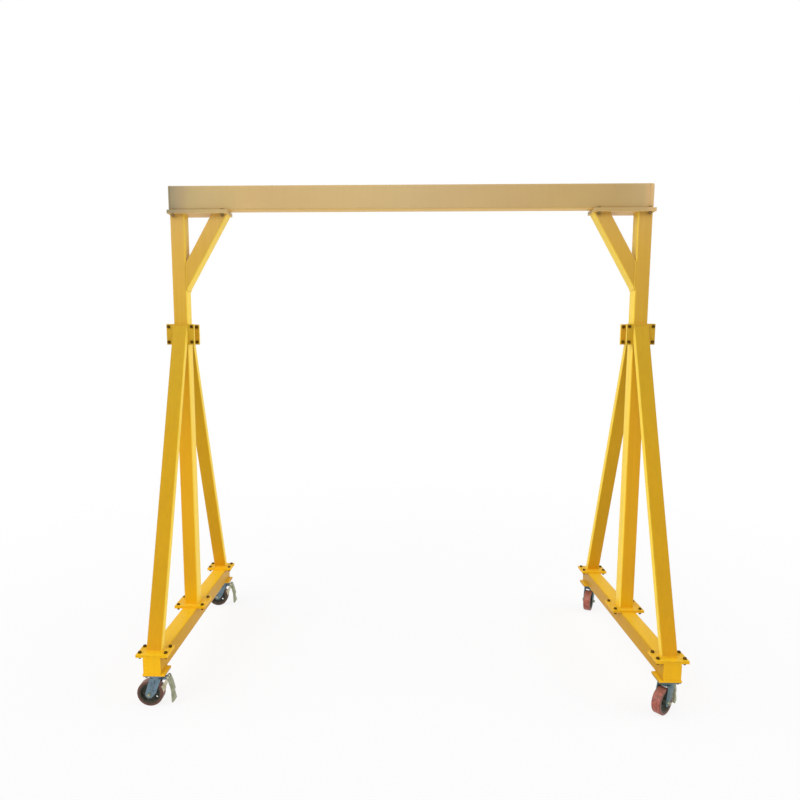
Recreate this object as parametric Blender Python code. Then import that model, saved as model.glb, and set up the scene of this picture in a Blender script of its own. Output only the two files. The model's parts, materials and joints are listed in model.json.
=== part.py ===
"""Portable gantry crane: a beam on two braced columns, each on a wheeled base beam.

Metres, +Z up, floor at Z = 0.  The beam lies along X, the front is -Y.
Each tower (column, brace, legs, base) is modelled about its column's axis with the
inside of the crane at -X, and the left tower is that model turned half round.
"""
import math

import bmesh
import bpy
from mathutils import Matrix, Vector

# --- fits and roundness -------------------------------------------------------------
FIT_GAP = 0.0003            # between faces that rest on each other
CUT_SPARE = 0.010           # how far a cutter runs past what it cuts
HOLE_SIDES = 8              # facets of a bolt hole
PIN_SIDES = 10              # facets of pins, eyes and small collars
RACE_SIDES = 16             # facets of the swivel races
WHEEL_SIDES = 24            # facets of the wheels
WELD_SINK = 0.001           # how far a welded plate bites into its tube's wall

# --- beam, a rectangular tube with a closed end on either side ----------------------
BEAM_LENGTH = 3.000
BEAM_UNDERSIDE = 2.882      # height of the beam above the floor
BEAM_HEIGHT = 0.150
BEAM_WIDTH = 0.088
BEAM_WALL = 0.006
BEAM_RADIUS = 0.012
BEAM_ROUND_STEPS = 3
LEFT_CAP = 0.008            # flat plate
RIGHT_CAP = 0.028           # dished cap with rounded edges

# --- bolted joint between the beam and each tower -----------------------------------
SEAT_LENGTH = 0.375
SEAT_WIDTH = 0.140
SEAT_THICKNESS = 0.011
SEAT_OVERHANG = 0.005       # past the end of the beam
SEAT_BOLT_INSET = 0.0325    # bolt line to the short edges
SEAT_BOLT_Y = 0.056

# --- column and brace, square tube --------------------------------------------------
COLUMN_SIZE = 0.090
COLUMN_WALL = 0.004
COLUMN_RADIUS = 0.008
COLUMN_INSET = 0.050        # column axis to the end of the beam
BRACE_SIZE = COLUMN_SIZE
BRACE_WALL = 0.004
BRACE_SLOPE = math.radians(60)
BRACE_REACH = 0.318         # brace's inner top edge to the column's axis

# --- collar: the bolted joint between the column and its two legs -------------------
COLLAR_HEIGHT = 2.115
COLLAR_PLATE = (0.175, 0.130)
COLLAR_THICKNESS = 0.008
COLLAR_BOLTS = (0.0735, 0.048)

# --- legs, rectangular tube ---------------------------------------------------------
LEG_SIZE = (0.090, 0.040)
LEG_WALL = 0.003
LEG_RADIUS = 0.006
LEG_PLATE = (0.180, 0.124)
LEG_BOLTS = (0.074, 0.0375)
LEG_CENTRE_INSET = 0.060    # leg's foot to the end of the base beam

# --- base beam ----------------------------------------------------------------------
BASE_LENGTH = 1.500
BASE_SIZE = 0.100
BASE_WALL = 0.004
BASE_RADIUS = 0.008
BASE_CAP = 0.005
DRAIN_RADIUS = 0.006
FOOT_THICKNESS = 0.008      # foot plates, and the pads under them
COLUMN_PLATE = (0.200, 0.170)
COLUMN_BOLTS = (0.080, 0.065)
BOLT_HOLE = 0.0068          # radius for the frame's bolts

# --- caster seat on the base beam ---------------------------------------------------
SEAT_PAD = (0.126, 0.106)
SEAT_PAD_THICKNESS = 0.010
SEAT_PAD_PROUD = 0.004      # past the base beam's outer side
CASTER_END_INSET = 0.050    # swivel axis to the end of the base beam
CASTER_PLATE = (0.120, 0.100)
CASTER_PLATE_THICKNESS = 0.006
CASTER_BOLTS = (0.046, 0.038)
CASTER_BOLT_HOLE = 0.0055

# --- caster -------------------------------------------------------------------------
WHEEL_RADIUS = 0.075
WHEEL_WIDTH = 0.050
TREAD_DEPTH = 0.015
TREAD_SHOULDER = 0.005
TRAIL = 0.037               # axle behind the swivel axis
HUB_RADIUS = 0.022
HUB_EASE = 0.002            # how much the hub narrows to its end
RIM_EASE = 0.001            # how much the rim thins to its end
HUB_CLEARANCE = 0.0013      # hub end to fork leg
WEB_THICKNESS = 0.010
RIM_WALL = 0.008
RIM_INSET = 0.001
WEB_HOLE_RADIUS = 0.007
WEB_HOLE_CIRCLE = 0.043
WEB_HOLE_COUNT = 3
WEB_HOLE_START = 43         # degrees
AXLE_RADIUS = 0.006
AXLE_PLAY = 0.0004
AXLE_HEX = 0.019
AXLE_HEAD = 0.0075
AXLE_NUT = 0.0105
AXLE_END = 0.004            # thread past the nut
FORK_ROOM = 0.005           # side of the wheel to the inside of a fork leg
FORK_METAL = 0.005
CROWN_THICKNESS = 0.006
CROWN_RADIUS = 0.040
CROWN_HALF_LENGTH = 0.033
WHEEL_HEADROOM = 0.013      # top of the wheel to the crown
LEG_END_RADIUS = 0.023
LEG_END_ARC = (165, 325)    # degrees, from the trailing edge round to the leading edge
LEG_THROAT = (0.002, 0.010) # where the leading edge bends: from the swivel axis, above the axle
LOWER_RACE = (0.020, 0.036)
UPPER_RACE_RADIUS = 0.042
RACE_HEIGHT = 0.0125
RACE_STAND = 0.0068         # the lower race above the crown
RACE_GAP = 0.0004
KINGPIN_RADIUS = 0.007
KINGPIN_HEAD = (0.012, 0.0027)
KINGPIN_NUT = (0.022, 0.011)
KINGPIN_END = 0.002

# --- brake --------------------------------------------------------------------------
PIN_AHEAD_OF_WHEEL = 0.028
PIN_OVER_CROWN = 0.001
PIN_RADIUS = 0.004
PIN_PLAY = 0.0003
PIN_HEAD = (0.0065, 0.002)
EYE_RADIUS = 0.009
CHEEK_ROOT = 0.018          # lug's root ahead of the swivel axis
CHEEK_DROP = 0.006          # lug's root under the crown
CHEEK_BEND = (0.020, 0.017) # lower bend of the lug: behind the pin and under it
SHOE_HALF_WIDTH = 0.009
CHEEK_METAL = 0.003
BRAKE_SIDE_PLAY = 0.0005
PEDAL_METAL = 0.003
TOE_CLEARANCE = 0.016       # pedal's toe above the floor
PEDAL_NECK = (0.020, -0.024)    # bends of the pedal's front: ahead of the pin, above it
PEDAL_KNEE = (0.032, -0.076)
PEDAL_WAIST = (0.028, -0.092)
PEDAL_LIP = (0.038, 0.018)      # ahead of the pin, above the toe
PEDAL_TOE = (0.022, 0.017)      # ahead of the pin: the toe's front and back
PEDAL_TOE_EDGE = 0.010
PEDAL_BACK = ((0.016, -0.084), (0.010, -0.056), (0.000, -0.024))
POCKET_BACK = 0.030         # how far the pedal's hollow is cut behind the pin
POCKET_TOP = 0.020
SHOE_PAD_HALF_WIDTH = 0.020
SHOE_PAD_THICKNESS = 0.005
SHOE_CLEARANCE = 0.0008
SHOE_ARC = (math.radians(8), math.radians(34))

# --- where each caster points: the brake's direction, turned from +X ----------------
CASTER_HEADINGS = {
    "front_left": 0.0,
    "rear_left": 0.0,
    "front_right": math.radians(40.5),
    "rear_right": math.radians(62.0),
}

# --- heights and places that follow -------------------------------------------------
CROWN_BOTTOM = 2 * WHEEL_RADIUS + WHEEL_HEADROOM
CROWN_TOP = CROWN_BOTTOM + CROWN_THICKNESS
LOWER_RACE_TOP = CROWN_TOP + RACE_STAND
UPPER_RACE_BOTTOM = LOWER_RACE_TOP + RACE_GAP
PLATE_BOTTOM = UPPER_RACE_BOTTOM + RACE_HEIGHT
PLATE_TOP = PLATE_BOTTOM + CASTER_PLATE_THICKNESS
CASTER_HEIGHT = PLATE_TOP + FIT_GAP
COLUMN_X = BEAM_LENGTH / 2 - COLUMN_INSET
BASE_BOTTOM = CASTER_HEIGHT + SEAT_PAD_THICKNESS
BASE_TOP = BASE_BOTTOM + BASE_SIZE
PAD_TOP = BASE_TOP + FOOT_THICKNESS
FOOT_BOTTOM = PAD_TOP + FIT_GAP
FOOT_TOP = FOOT_BOTTOM + FOOT_THICKNESS
UPPER_SEAT_TOP = BEAM_UNDERSIDE - FIT_GAP
LOWER_SEAT_TOP = UPPER_SEAT_TOP - SEAT_THICKNESS - FIT_GAP
COLUMN_TOP = LOWER_SEAT_TOP - SEAT_THICKNESS - FIT_GAP
SEAT_X = COLUMN_INSET + SEAT_OVERHANG - SEAT_LENGTH / 2
COLLAR_FACE = COLUMN_SIZE / 2 + FIT_GAP
LEG_PLATE_FACE = COLLAR_FACE + COLLAR_THICKNESS + FIT_GAP
LEG_FOOT_Y = BASE_LENGTH / 2 - LEG_CENTRE_INSET
CASTER_Y = BASE_LENGTH / 2 - CASTER_END_INSET
CASTER_X = BASE_SIZE / 2 + SEAT_PAD_PROUD - SEAT_PAD[0] / 2     # from the column's axis, outward
FORK_INNER = WHEEL_WIDTH / 2 + FORK_ROOM
FORK_OUTER = FORK_INNER + FORK_METAL
CHEEK_INNER = SHOE_HALF_WIDTH + BRAKE_SIDE_PLAY
CHEEK_OUTER = CHEEK_INNER + CHEEK_METAL
PEDAL_INNER = CHEEK_OUTER + BRAKE_SIDE_PLAY
PEDAL_OUTER = PEDAL_INNER + PEDAL_METAL
PIN_FORWARD = WHEEL_RADIUS - TRAIL + PIN_AHEAD_OF_WHEEL      # from the swivel axis
PIN_HEIGHT = CROWN_TOP + PIN_OVER_CROWN
PEDAL_LENGTH = PIN_HEIGHT - TOE_CLEARANCE


# --- outlines -----------------------------------------------------------------------
def arc(centre, radius, start, end, steps):
    """Points on an arc from start to end, in degrees."""
    angles = [math.radians(start + (end - start) * i / steps) for i in range(steps + 1)]
    return [(centre[0] + radius * math.cos(a), centre[1] + radius * math.sin(a)) for a in angles]


def circle(centre, radius, sides):
    return arc(centre, radius, 0, 360, sides)[:-1]


def hexagon(across_flats):
    return circle((0, 0), across_flats / math.sqrt(3), 6)


def rectangle(width, depth, centre=(0, 0)):
    x, y = centre
    w, d = width / 2, depth / 2
    return [(x - w, y - d), (x + w, y - d), (x + w, y + d), (x - w, y + d)]


def rounded_rectangle(width, depth, radius, steps=2):
    w, d = width / 2 - radius, depth / 2 - radius
    corners = [((w, -d), -90), ((w, d), 0), ((-w, d), 90), ((-w, -d), 180)]
    points = []
    for centre, start in corners:
        points += arc(centre, radius, start, start + 90, steps)
    return points


def four_holes(offsets, radius, centre=(0, 0)):
    spots = [(centre[0] + sx * offsets[0], centre[1] + sy * offsets[1]) for sx in (-1, 1) for sy in (-1, 1)]
    return [circle(spot, radius, HOLE_SIDES) for spot in spots]


# --- solids -------------------------------------------------------------------------
def slab(outline, thickness, holes=()):
    """A flat piece in XY from Z = 0 up, with holes through it."""
    bm = bmesh.new()
    edges = []
    for loop in [outline, *holes]:
        verts = [bm.verts.new((x, y, 0)) for x, y in loop]
        edges += [bm.edges.new(pair) for pair in zip(verts, verts[1:] + verts[:1])]
    bmesh.ops.triangle_fill(bm, use_beauty=True, edges=edges)
    grown = bmesh.ops.extrude_face_region(bm, geom=bm.faces[:])
    lifted = [item for item in grown["geom"] if isinstance(item, bmesh.types.BMVert)]
    bmesh.ops.translate(bm, verts=lifted, vec=(0, 0, thickness))
    bmesh.ops.recalc_face_normals(bm, faces=bm.faces[:])
    return bm


def moved(bm, x=0.0, y=0.0, z=0.0):
    bmesh.ops.translate(bm, verts=bm.verts[:], vec=(x, y, z))
    return bm


def turned(bm, matrix):
    bmesh.ops.transform(bm, matrix=matrix, verts=bm.verts[:])
    return bm


def upright_slab(outline, near, far, holes=()):
    """A piece whose outline lies in XZ, from Y = near to Y = far."""
    bm = turned(slab(outline, far - near, holes), Matrix.Rotation(math.pi / 2, 4, "X"))
    return moved(bm, y=far)


def cross_slab(outline, near, far, holes=()):
    """A piece whose outline lies in YZ, from X = near to X = far."""
    swap = Matrix(((0, 0, 1, 0), (1, 0, 0, 0), (0, 1, 0, 0), (0, 0, 0, 1)))
    return moved(turned(slab(outline, far - near, holes), swap), x=near)


def tube(width, depth, wall, radius, length):
    inside = rounded_rectangle(width - 2 * wall, depth - 2 * wall, radius - wall + 0.001)
    return slab(rounded_rectangle(width, depth, radius), length, [inside])


def spun(profile, sides):
    """A ring with the given (radius, height) profile about Z."""
    bm = bmesh.new()
    verts = [bm.verts.new((r, 0, z)) for r, z in profile]
    edges = [bm.edges.new(pair) for pair in zip(verts, verts[1:] + verts[:1])]
    bmesh.ops.spin(bm, geom=verts + edges, cent=(0, 0, 0), axis=(0, 0, 1), angle=2 * math.pi,
                   steps=sides, use_merge=True, use_duplicate=False)
    bmesh.ops.remove_doubles(bm, verts=bm.verts[:], dist=1e-6)
    bmesh.ops.recalc_face_normals(bm, faces=bm.faces[:])
    return bm


def rod(radius, low, high, sides=PIN_SIDES):
    return moved(slab(circle((0, 0), radius, sides), high - low), z=low)


def across(bm):
    """Turn a piece modelled about Z so that it lies about Y."""
    return turned(bm, Matrix.Rotation(-math.pi / 2, 4, "X"))


def trimmed(bm, point, normal):
    """Cut away the side that normal points to, and close the cut."""
    geometry = bm.verts[:] + bm.edges[:] + bm.faces[:]
    result = bmesh.ops.bisect_plane(bm, geom=geometry, plane_co=point, plane_no=normal, clear_outer=True)
    rim = [item for item in result["geom_cut"] if isinstance(item, bmesh.types.BMEdge)]
    bmesh.ops.triangle_fill(bm, use_beauty=True, edges=rim)
    bmesh.ops.recalc_face_normals(bm, faces=bm.faces[:])
    return bm


def scratch_object(bm):
    mesh = bpy.data.meshes.new("scratch")
    bm.to_mesh(mesh)
    bm.free()
    thing = bpy.data.objects.new("scratch", mesh)
    bpy.context.collection.objects.link(thing)
    return thing


def combined(body, tools, operation):
    """Unite the tools with the body, or cut them out of it."""
    base = scratch_object(body)
    cutters = [scratch_object(tool) for tool in tools]
    for cutter in cutters:
        step = base.modifiers.new("step", "BOOLEAN")
        step.operation = operation
        step.object = cutter
    bpy.context.view_layer.update()
    solid = base.evaluated_get(bpy.context.evaluated_depsgraph_get())
    bm = bmesh.new()
    bm.from_mesh(solid.to_mesh())
    solid.to_mesh_clear()
    for thing in [base, *cutters]:
        mesh = thing.data
        bpy.data.objects.remove(thing)
        bpy.data.meshes.remove(mesh)
    bmesh.ops.remove_doubles(bm, verts=bm.verts[:], dist=1e-6)
    bmesh.ops.dissolve_degenerate(bm, edges=bm.edges[:], dist=1e-6)
    bmesh.ops.dissolve_limit(bm, angle_limit=math.radians(0.3), verts=bm.verts[:], edges=bm.edges[:])
    bmesh.ops.triangulate(bm, faces=bm.faces[:])
    return bm


def united(body, *tools):
    return combined(body, tools, "UNION")


def cut(body, *tools):
    return combined(body, tools, "DIFFERENCE")


# --- materials and objects ----------------------------------------------------------
def principled(name, colour, roughness, metallic):
    material = bpy.data.materials.new(name)
    material.use_nodes = True
    shader = material.node_tree.nodes["Principled BSDF"]
    shader.inputs["Base Color"].default_value = (*colour, 1.0)
    shader.inputs["Roughness"].default_value = roughness
    shader.inputs["Metallic"].default_value = metallic
    return material


def make_materials():
    return {
        "yellow_paint": principled("yellow_paint", (0.76, 0.42, 0.02), 0.42, 0.0),
        "zinc": principled("zinc", (0.36, 0.43, 0.48), 0.38, 0.9),
        "pale_zinc": principled("pale_zinc", (0.55, 0.56, 0.48), 0.45, 0.85),
        "cast_iron": principled("cast_iron", (0.030, 0.040, 0.032), 0.55, 0.3),
        "polyurethane": principled("polyurethane", (0.36, 0.065, 0.045), 0.45, 0.0),
    }


def place(name, bm, material, parent=None, at=(0, 0, 0), turn=0.0):
    mesh = bpy.data.meshes.new(name)
    bm.to_mesh(mesh)
    bm.free()
    mesh.materials.append(material)
    mesh.shade_smooth()
    mesh.set_sharp_from_angle(angle=math.radians(32))
    thing = bpy.data.objects.new(name, mesh)
    bpy.context.collection.objects.link(thing)
    thing.parent = parent
    thing.location = at
    thing.rotation_euler = (0, 0, turn)
    return thing


def anchor(name, parent=None, at=(0, 0, 0), turn=0.0):
    """An empty that carries an assembly."""
    empty = bpy.data.objects.new(name, None)
    bpy.context.collection.objects.link(empty)
    empty.parent = parent
    empty.location = at
    empty.rotation_euler = (0, 0, turn)
    return empty


# --- the beam -----------------------------------------------------------------------
def dished_cap(depth):
    """A cap that closes the tube at +X, its outer edges as round as the tube's."""
    bm = bmesh.new()
    bmesh.ops.create_cube(bm, size=1.0)
    bmesh.ops.scale(bm, vec=(depth, BEAM_WIDTH, BEAM_HEIGHT), verts=bm.verts[:])
    moved(bm, x=depth / 2)
    outer = [edge for edge in bm.edges if max(vert.co.x for vert in edge.verts) > depth / 2]
    bmesh.ops.bevel(bm, geom=outer, offset=BEAM_RADIUS, segments=BEAM_ROUND_STEPS, profile=0.5,
                    affect="EDGES", material=-1)
    inside = rectangle(BEAM_WIDTH - 3 * BEAM_WALL, BEAM_HEIGHT - 3 * BEAM_WALL)
    return cut(bm, cross_slab(inside, -CUT_SPARE, depth - BEAM_WALL))


def make_beam(paint):
    middle = BEAM_UNDERSIDE + BEAM_HEIGHT / 2
    half = BEAM_LENGTH / 2
    outline = rounded_rectangle(BEAM_WIDTH, BEAM_HEIGHT, BEAM_RADIUS, BEAM_ROUND_STEPS)
    inside = rounded_rectangle(BEAM_WIDTH - 2 * BEAM_WALL, BEAM_HEIGHT - 2 * BEAM_WALL,
                               BEAM_RADIUS - BEAM_WALL)
    left, right = LEFT_CAP + FIT_GAP - half, half - RIGHT_CAP - FIT_GAP
    place("main_beam", cross_slab(outline, left, right, [inside]), paint, at=(0, 0, middle))
    place("beam_cap_left", cross_slab(outline, 0, LEFT_CAP), paint, at=(-half, 0, middle))
    place("beam_cap_right", dished_cap(RIGHT_CAP), paint, at=(half - RIGHT_CAP, 0, middle))


# --- one tower, about the column's axis, with the crane's inside at -X --------------
def seat_plate():
    bolts = (SEAT_LENGTH / 2 - SEAT_BOLT_INSET, SEAT_BOLT_Y)
    holes = four_holes(bolts, BOLT_HOLE)
    return slab(rectangle(SEAT_LENGTH, SEAT_WIDTH), SEAT_THICKNESS, holes)


def brace():
    """Square tube between the column's inner face and the lower seat plate."""
    face = -COLUMN_SIZE / 2 - FIT_GAP
    low_edge = Vector((-BRACE_REACH, 0, COLUMN_TOP))
    along = Vector((math.cos(BRACE_SLOPE), 0, -math.sin(BRACE_SLOPE)))
    outward = Vector((math.sin(BRACE_SLOPE), 0, math.cos(BRACE_SLOPE)))
    start = low_edge + outward * BRACE_SIZE / 2 - along * BRACE_SIZE
    length = (BRACE_REACH / math.cos(BRACE_SLOPE)) + 2 * BRACE_SIZE
    frame = Matrix((outward, along.cross(outward), along)).transposed().to_4x4()
    frame.translation = start
    bm = turned(tube(BRACE_SIZE, BRACE_SIZE, BRACE_WALL, COLUMN_RADIUS, length), frame)
    bm = trimmed(bm, (0, 0, COLUMN_TOP), (0, 0, 1))
    return trimmed(bm, (face, 0, 0), (1, 0, 0))


def collar_plate():
    outline = rectangle(*COLLAR_PLATE)
    holes = four_holes(COLLAR_BOLTS, BOLT_HOLE)
    return upright_slab(outline, -COLLAR_FACE - COLLAR_THICKNESS, -COLLAR_FACE, holes)


def leaning_bar(size, radius, foot_level, head_face):
    """A solid bar on the front leg's line, cut level at the foot and plumb at the head."""
    foot = Vector((0, -LEG_FOOT_Y, FOOT_TOP))
    head = Vector((0, -LEG_PLATE_FACE - COLLAR_THICKNESS, COLLAR_HEIGHT))
    along = (head - foot).normalized()
    right = Vector((1, 0, 0))
    frame = Matrix((right, along.cross(right), along)).transposed().to_4x4()
    spare = 3 * max(size)
    frame.translation = foot - along * spare
    length = (head - foot).length + 2 * spare
    bm = turned(slab(rounded_rectangle(*size, radius), length), frame)
    bm = trimmed(bm, (0, 0, foot_level), (0, 0, -1))
    return trimmed(bm, (0, head_face, 0), (0, 1, 0))


def front_leg():
    """Leaning tube, closed by a foot plate and by the plate that bolts to the collar."""
    plate_face = -LEG_PLATE_FACE - COLLAR_THICKNESS
    bar = leaning_bar(LEG_SIZE, LEG_RADIUS, FOOT_TOP - 2 * WELD_SINK, plate_face + 2 * WELD_SINK)
    hollow_size = [edge - 2 * LEG_WALL for edge in LEG_SIZE]
    hollow = leaning_bar(hollow_size, LEG_RADIUS / 2, FOOT_TOP + WELD_SINK / 2, plate_face - WELD_SINK / 2)
    foot = slab(rectangle(*LEG_PLATE), FOOT_THICKNESS, four_holes(LEG_BOLTS, BOLT_HOLE))
    head = upright_slab(rectangle(*COLLAR_PLATE), plate_face, -LEG_PLATE_FACE,
                        four_holes(COLLAR_BOLTS, BOLT_HOLE))
    drain = moved(rod(DRAIN_RADIUS, FOOT_BOTTOM - CUT_SPARE, FOOT_TOP + CUT_SPARE, HOLE_SIDES), y=-LEG_FOOT_Y)
    whole = united(bar, moved(foot, y=-LEG_FOOT_Y, z=FOOT_BOTTOM), moved(head, z=COLLAR_HEIGHT))
    return cut(whole, hollow, drain)


def base_beam():
    """Capped square tube with pads welded on for the legs, the column and the casters."""
    half = BASE_LENGTH / 2
    middle = BASE_BOTTOM + BASE_SIZE / 2
    body = moved(upright_slab(rounded_rectangle(BASE_SIZE, BASE_SIZE, BASE_RADIUS), -half, half), z=middle)
    inner = BASE_SIZE - 2 * BASE_WALL
    inner_outline = rounded_rectangle(inner, inner, BASE_RADIUS / 2)
    hollow = moved(upright_slab(inner_outline, BASE_CAP - half, half - BASE_CAP), z=middle)
    pads = []
    for size, bolts, y in ((LEG_PLATE, LEG_BOLTS, -LEG_FOOT_Y), (COLUMN_PLATE, COLUMN_BOLTS, 0),
                           (LEG_PLATE, LEG_BOLTS, LEG_FOOT_Y)):
        pad = slab(rectangle(*size), FOOT_THICKNESS + WELD_SINK, four_holes(bolts, BOLT_HOLE))
        pads.append(moved(pad, y=y, z=BASE_TOP - WELD_SINK))
    for y in (-CASTER_Y, CASTER_Y):
        pad = slab(rectangle(*SEAT_PAD), SEAT_PAD_THICKNESS + WELD_SINK)
        pads.append(moved(pad, x=CASTER_X, y=y, z=CASTER_HEIGHT))
    drain = moved(rod(DRAIN_RADIUS, BASE_BOTTOM - CUT_SPARE, BASE_BOTTOM + CUT_SPARE, HOLE_SIDES), y=half / 2)
    return cut(united(body, *pads), hollow, drain)


def make_tower(side, turn, paint):
    sign = -1 if turn else 1
    tower = anchor(f"tower_{side}", at=(sign * COLUMN_X, 0, 0), turn=turn)
    lower_seat = LOWER_SEAT_TOP - SEAT_THICKNESS
    place(f"beam_seat_{side}", seat_plate(), paint, tower, at=(SEAT_X, 0, UPPER_SEAT_TOP - SEAT_THICKNESS))
    place(f"column_head_plate_{side}", seat_plate(), paint, tower, at=(SEAT_X, 0, lower_seat))
    height = COLUMN_TOP - FOOT_TOP - FIT_GAP
    column = tube(COLUMN_SIZE, COLUMN_SIZE, COLUMN_WALL, COLUMN_RADIUS, height)
    place(f"column_{side}", column, paint, tower, at=(0, 0, FOOT_TOP + FIT_GAP))
    foot = slab(rectangle(*COLUMN_PLATE), FOOT_THICKNESS, four_holes(COLUMN_BOLTS, BOLT_HOLE))
    place(f"column_foot_plate_{side}", foot, paint, tower, at=(0, 0, FOOT_BOTTOM))
    place(f"brace_{side}", brace(), paint, tower)
    for end, heading in (("front", 0), ("rear", math.pi)):
        place(f"collar_plate_{end}_{side}", collar_plate(), paint, tower, at=(0, 0, COLLAR_HEIGHT),
              turn=heading - turn)
        place(f"leg_{end}_{side}", front_leg(), paint, tower, turn=heading - turn)
    place(f"base_beam_{side}", base_beam(), paint, tower)


# --- caster, about its swivel axis on the floor, with the brake at +X ---------------
def caster_plate():
    """Top plate with the upper race pressed under it."""
    plate = slab(rectangle(*CASTER_PLATE), CASTER_PLATE_THICKNESS, four_holes(CASTER_BOLTS, CASTER_BOLT_HOLE))
    low = UPPER_RACE_BOTTOM
    race = moved(slab(circle((0, 0), UPPER_RACE_RADIUS, RACE_SIDES), RACE_HEIGHT + WELD_SINK), z=low)
    bore = rod(KINGPIN_RADIUS + AXLE_PLAY, low - CUT_SPARE, PLATE_TOP + CUT_SPARE)
    head_radius, head_depth = KINGPIN_HEAD
    recess = rod(head_radius + AXLE_PLAY, PLATE_TOP - FIT_GAP - head_depth, PLATE_TOP + CUT_SPARE)
    return cut(united(moved(plate, z=PLATE_BOTTOM), race), bore, recess)


def kingpin():
    head_radius, head_depth = KINGPIN_HEAD
    across_flats, nut_height = KINGPIN_NUT
    nut_top = CROWN_BOTTOM - FIT_GAP
    head_top = PLATE_TOP - FIT_GAP
    shank = rod(KINGPIN_RADIUS, nut_top - nut_height - KINGPIN_END, head_top - head_depth / 2)
    nut = moved(slab(hexagon(across_flats), nut_height), z=nut_top - nut_height)
    head = rod(head_radius, head_top - head_depth + FIT_GAP, head_top)
    return united(shank, nut, head)


def fork_leg_outline():
    """One fork leg in XZ: wide at the crown, round at the axle."""
    top = CROWN_TOP - WELD_SINK / 2
    end = arc((-TRAIL, WHEEL_RADIUS), LEG_END_RADIUS, *LEG_END_ARC, 6)
    throat = (LEG_THROAT[0], WHEEL_RADIUS + LEG_THROAT[1])
    return [(-CROWN_HALF_LENGTH, top)] + end + [throat, (CROWN_HALF_LENGTH, top)]


def cheek_outline():
    """One of the two lugs that carry the brake pin, in XZ."""
    pin = (PIN_FORWARD, PIN_HEIGHT)
    top = CROWN_TOP - WELD_SINK / 2
    bend = (PIN_FORWARD - CHEEK_BEND[0], PIN_HEIGHT - CHEEK_BEND[1])
    lower = [(CHEEK_ROOT, CROWN_BOTTOM - CHEEK_DROP), bend]
    clear = UPPER_RACE_RADIUS + CUT_SPARE / 2
    return lower + arc(pin, EYE_RADIUS, -70, 95, 6) + [(clear, top), (CHEEK_ROOT, top)]


def fork():
    """Pressed crown with the lower race, two legs, and the lugs of the brake."""
    edge = FORK_OUTER - WELD_SINK
    long = CROWN_HALF_LENGTH - WELD_SINK / 2
    swing = math.degrees(math.acos(long / CROWN_RADIUS))
    outline = [(long, -edge)] + arc((0, 0), CROWN_RADIUS, -swing, swing, 4) + [(long, edge)]
    outline += [(-x, -y) for x, y in outline]
    bore = circle((0, 0), KINGPIN_RADIUS + AXLE_PLAY, PIN_SIDES)
    crown = moved(slab(outline, CROWN_THICKNESS, [bore]), z=CROWN_BOTTOM)
    inner, outer = LOWER_RACE
    low = CROWN_TOP - WELD_SINK
    race = moved(slab(circle((0, 0), outer, RACE_SIDES), LOWER_RACE_TOP - low,
                      [circle((0, 0), inner, RACE_SIDES)]), z=low)
    axle_hole = circle((-TRAIL, WHEEL_RADIUS), AXLE_RADIUS + AXLE_PLAY, PIN_SIDES)
    pin_hole = circle((PIN_FORWARD, PIN_HEIGHT), PIN_RADIUS + PIN_PLAY, PIN_SIDES)
    parts = [race]
    for near, far in ((-FORK_OUTER, -FORK_INNER), (FORK_INNER, FORK_OUTER)):
        parts.append(upright_slab(fork_leg_outline(), near, far, [axle_hole]))
    for near, far in ((-CHEEK_OUTER, -CHEEK_INNER), (CHEEK_INNER, CHEEK_OUTER)):
        parts.append(upright_slab(cheek_outline(), near, far, [pin_hole]))
    return united(crown, *parts)


def wheel_core():
    """Cast centre: hub, web with three holes, and rim."""
    hub_end = FORK_INNER - HUB_CLEARANCE
    web = WEB_THICKNESS / 2
    rim_outer = WHEEL_RADIUS - TREAD_DEPTH - FIT_GAP
    rim_inner = rim_outer - RIM_WALL
    rim_end = WHEEL_WIDTH / 2 - RIM_INSET
    bore = AXLE_RADIUS + AXLE_PLAY
    half = [(bore, hub_end), (HUB_RADIUS - HUB_EASE, hub_end), (HUB_RADIUS, web),
            (rim_inner, web), (rim_inner + RIM_EASE, rim_end), (rim_outer, rim_end)]
    core = spun(half + [(r, -z) for r, z in reversed(half)], WHEEL_SIDES)
    drills = []
    for i in range(WEB_HOLE_COUNT):
        a = math.radians(WEB_HOLE_START + 360 * i / WEB_HOLE_COUNT)
        drill = rod(WEB_HOLE_RADIUS, -2 * web, 2 * web, HOLE_SIDES)
        drills.append(moved(drill, x=WEB_HOLE_CIRCLE * math.cos(a), y=WEB_HOLE_CIRCLE * math.sin(a)))
    return across(cut(core, *drills))


def wheel_tread():
    inner = WHEEL_RADIUS - TREAD_DEPTH
    side = WHEEL_WIDTH / 2
    half = [(inner, side), (WHEEL_RADIUS - TREAD_SHOULDER, side), (WHEEL_RADIUS, side - TREAD_SHOULDER)]
    return across(spun(half + [(r, -z) for r, z in reversed(half)], WHEEL_SIDES))


def axle():
    """Hexagon bolt and its nut, outside the fork's legs."""
    seat = FORK_OUTER + FIT_GAP
    shank = rod(AXLE_RADIUS, -seat - AXLE_HEAD / 2, seat + AXLE_NUT + AXLE_END)
    head = moved(slab(hexagon(AXLE_HEX), AXLE_HEAD), z=-seat - AXLE_HEAD)
    nut = moved(slab(hexagon(AXLE_HEX), AXLE_NUT), z=seat)
    return turned(united(shank, head, nut), Matrix.Rotation(math.pi / 2, 4, "X"))


def brake_pin():
    """Headed pin through the lugs, the shoe and the pedal."""
    radius, depth = PIN_HEAD
    seat = PEDAL_OUTER + FIT_GAP
    parts = [rod(radius, -seat - depth, -seat), rod(radius, seat, seat + depth)]
    return across(united(rod(PIN_RADIUS, -seat - depth / 2, seat + depth / 2), *parts))


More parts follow.
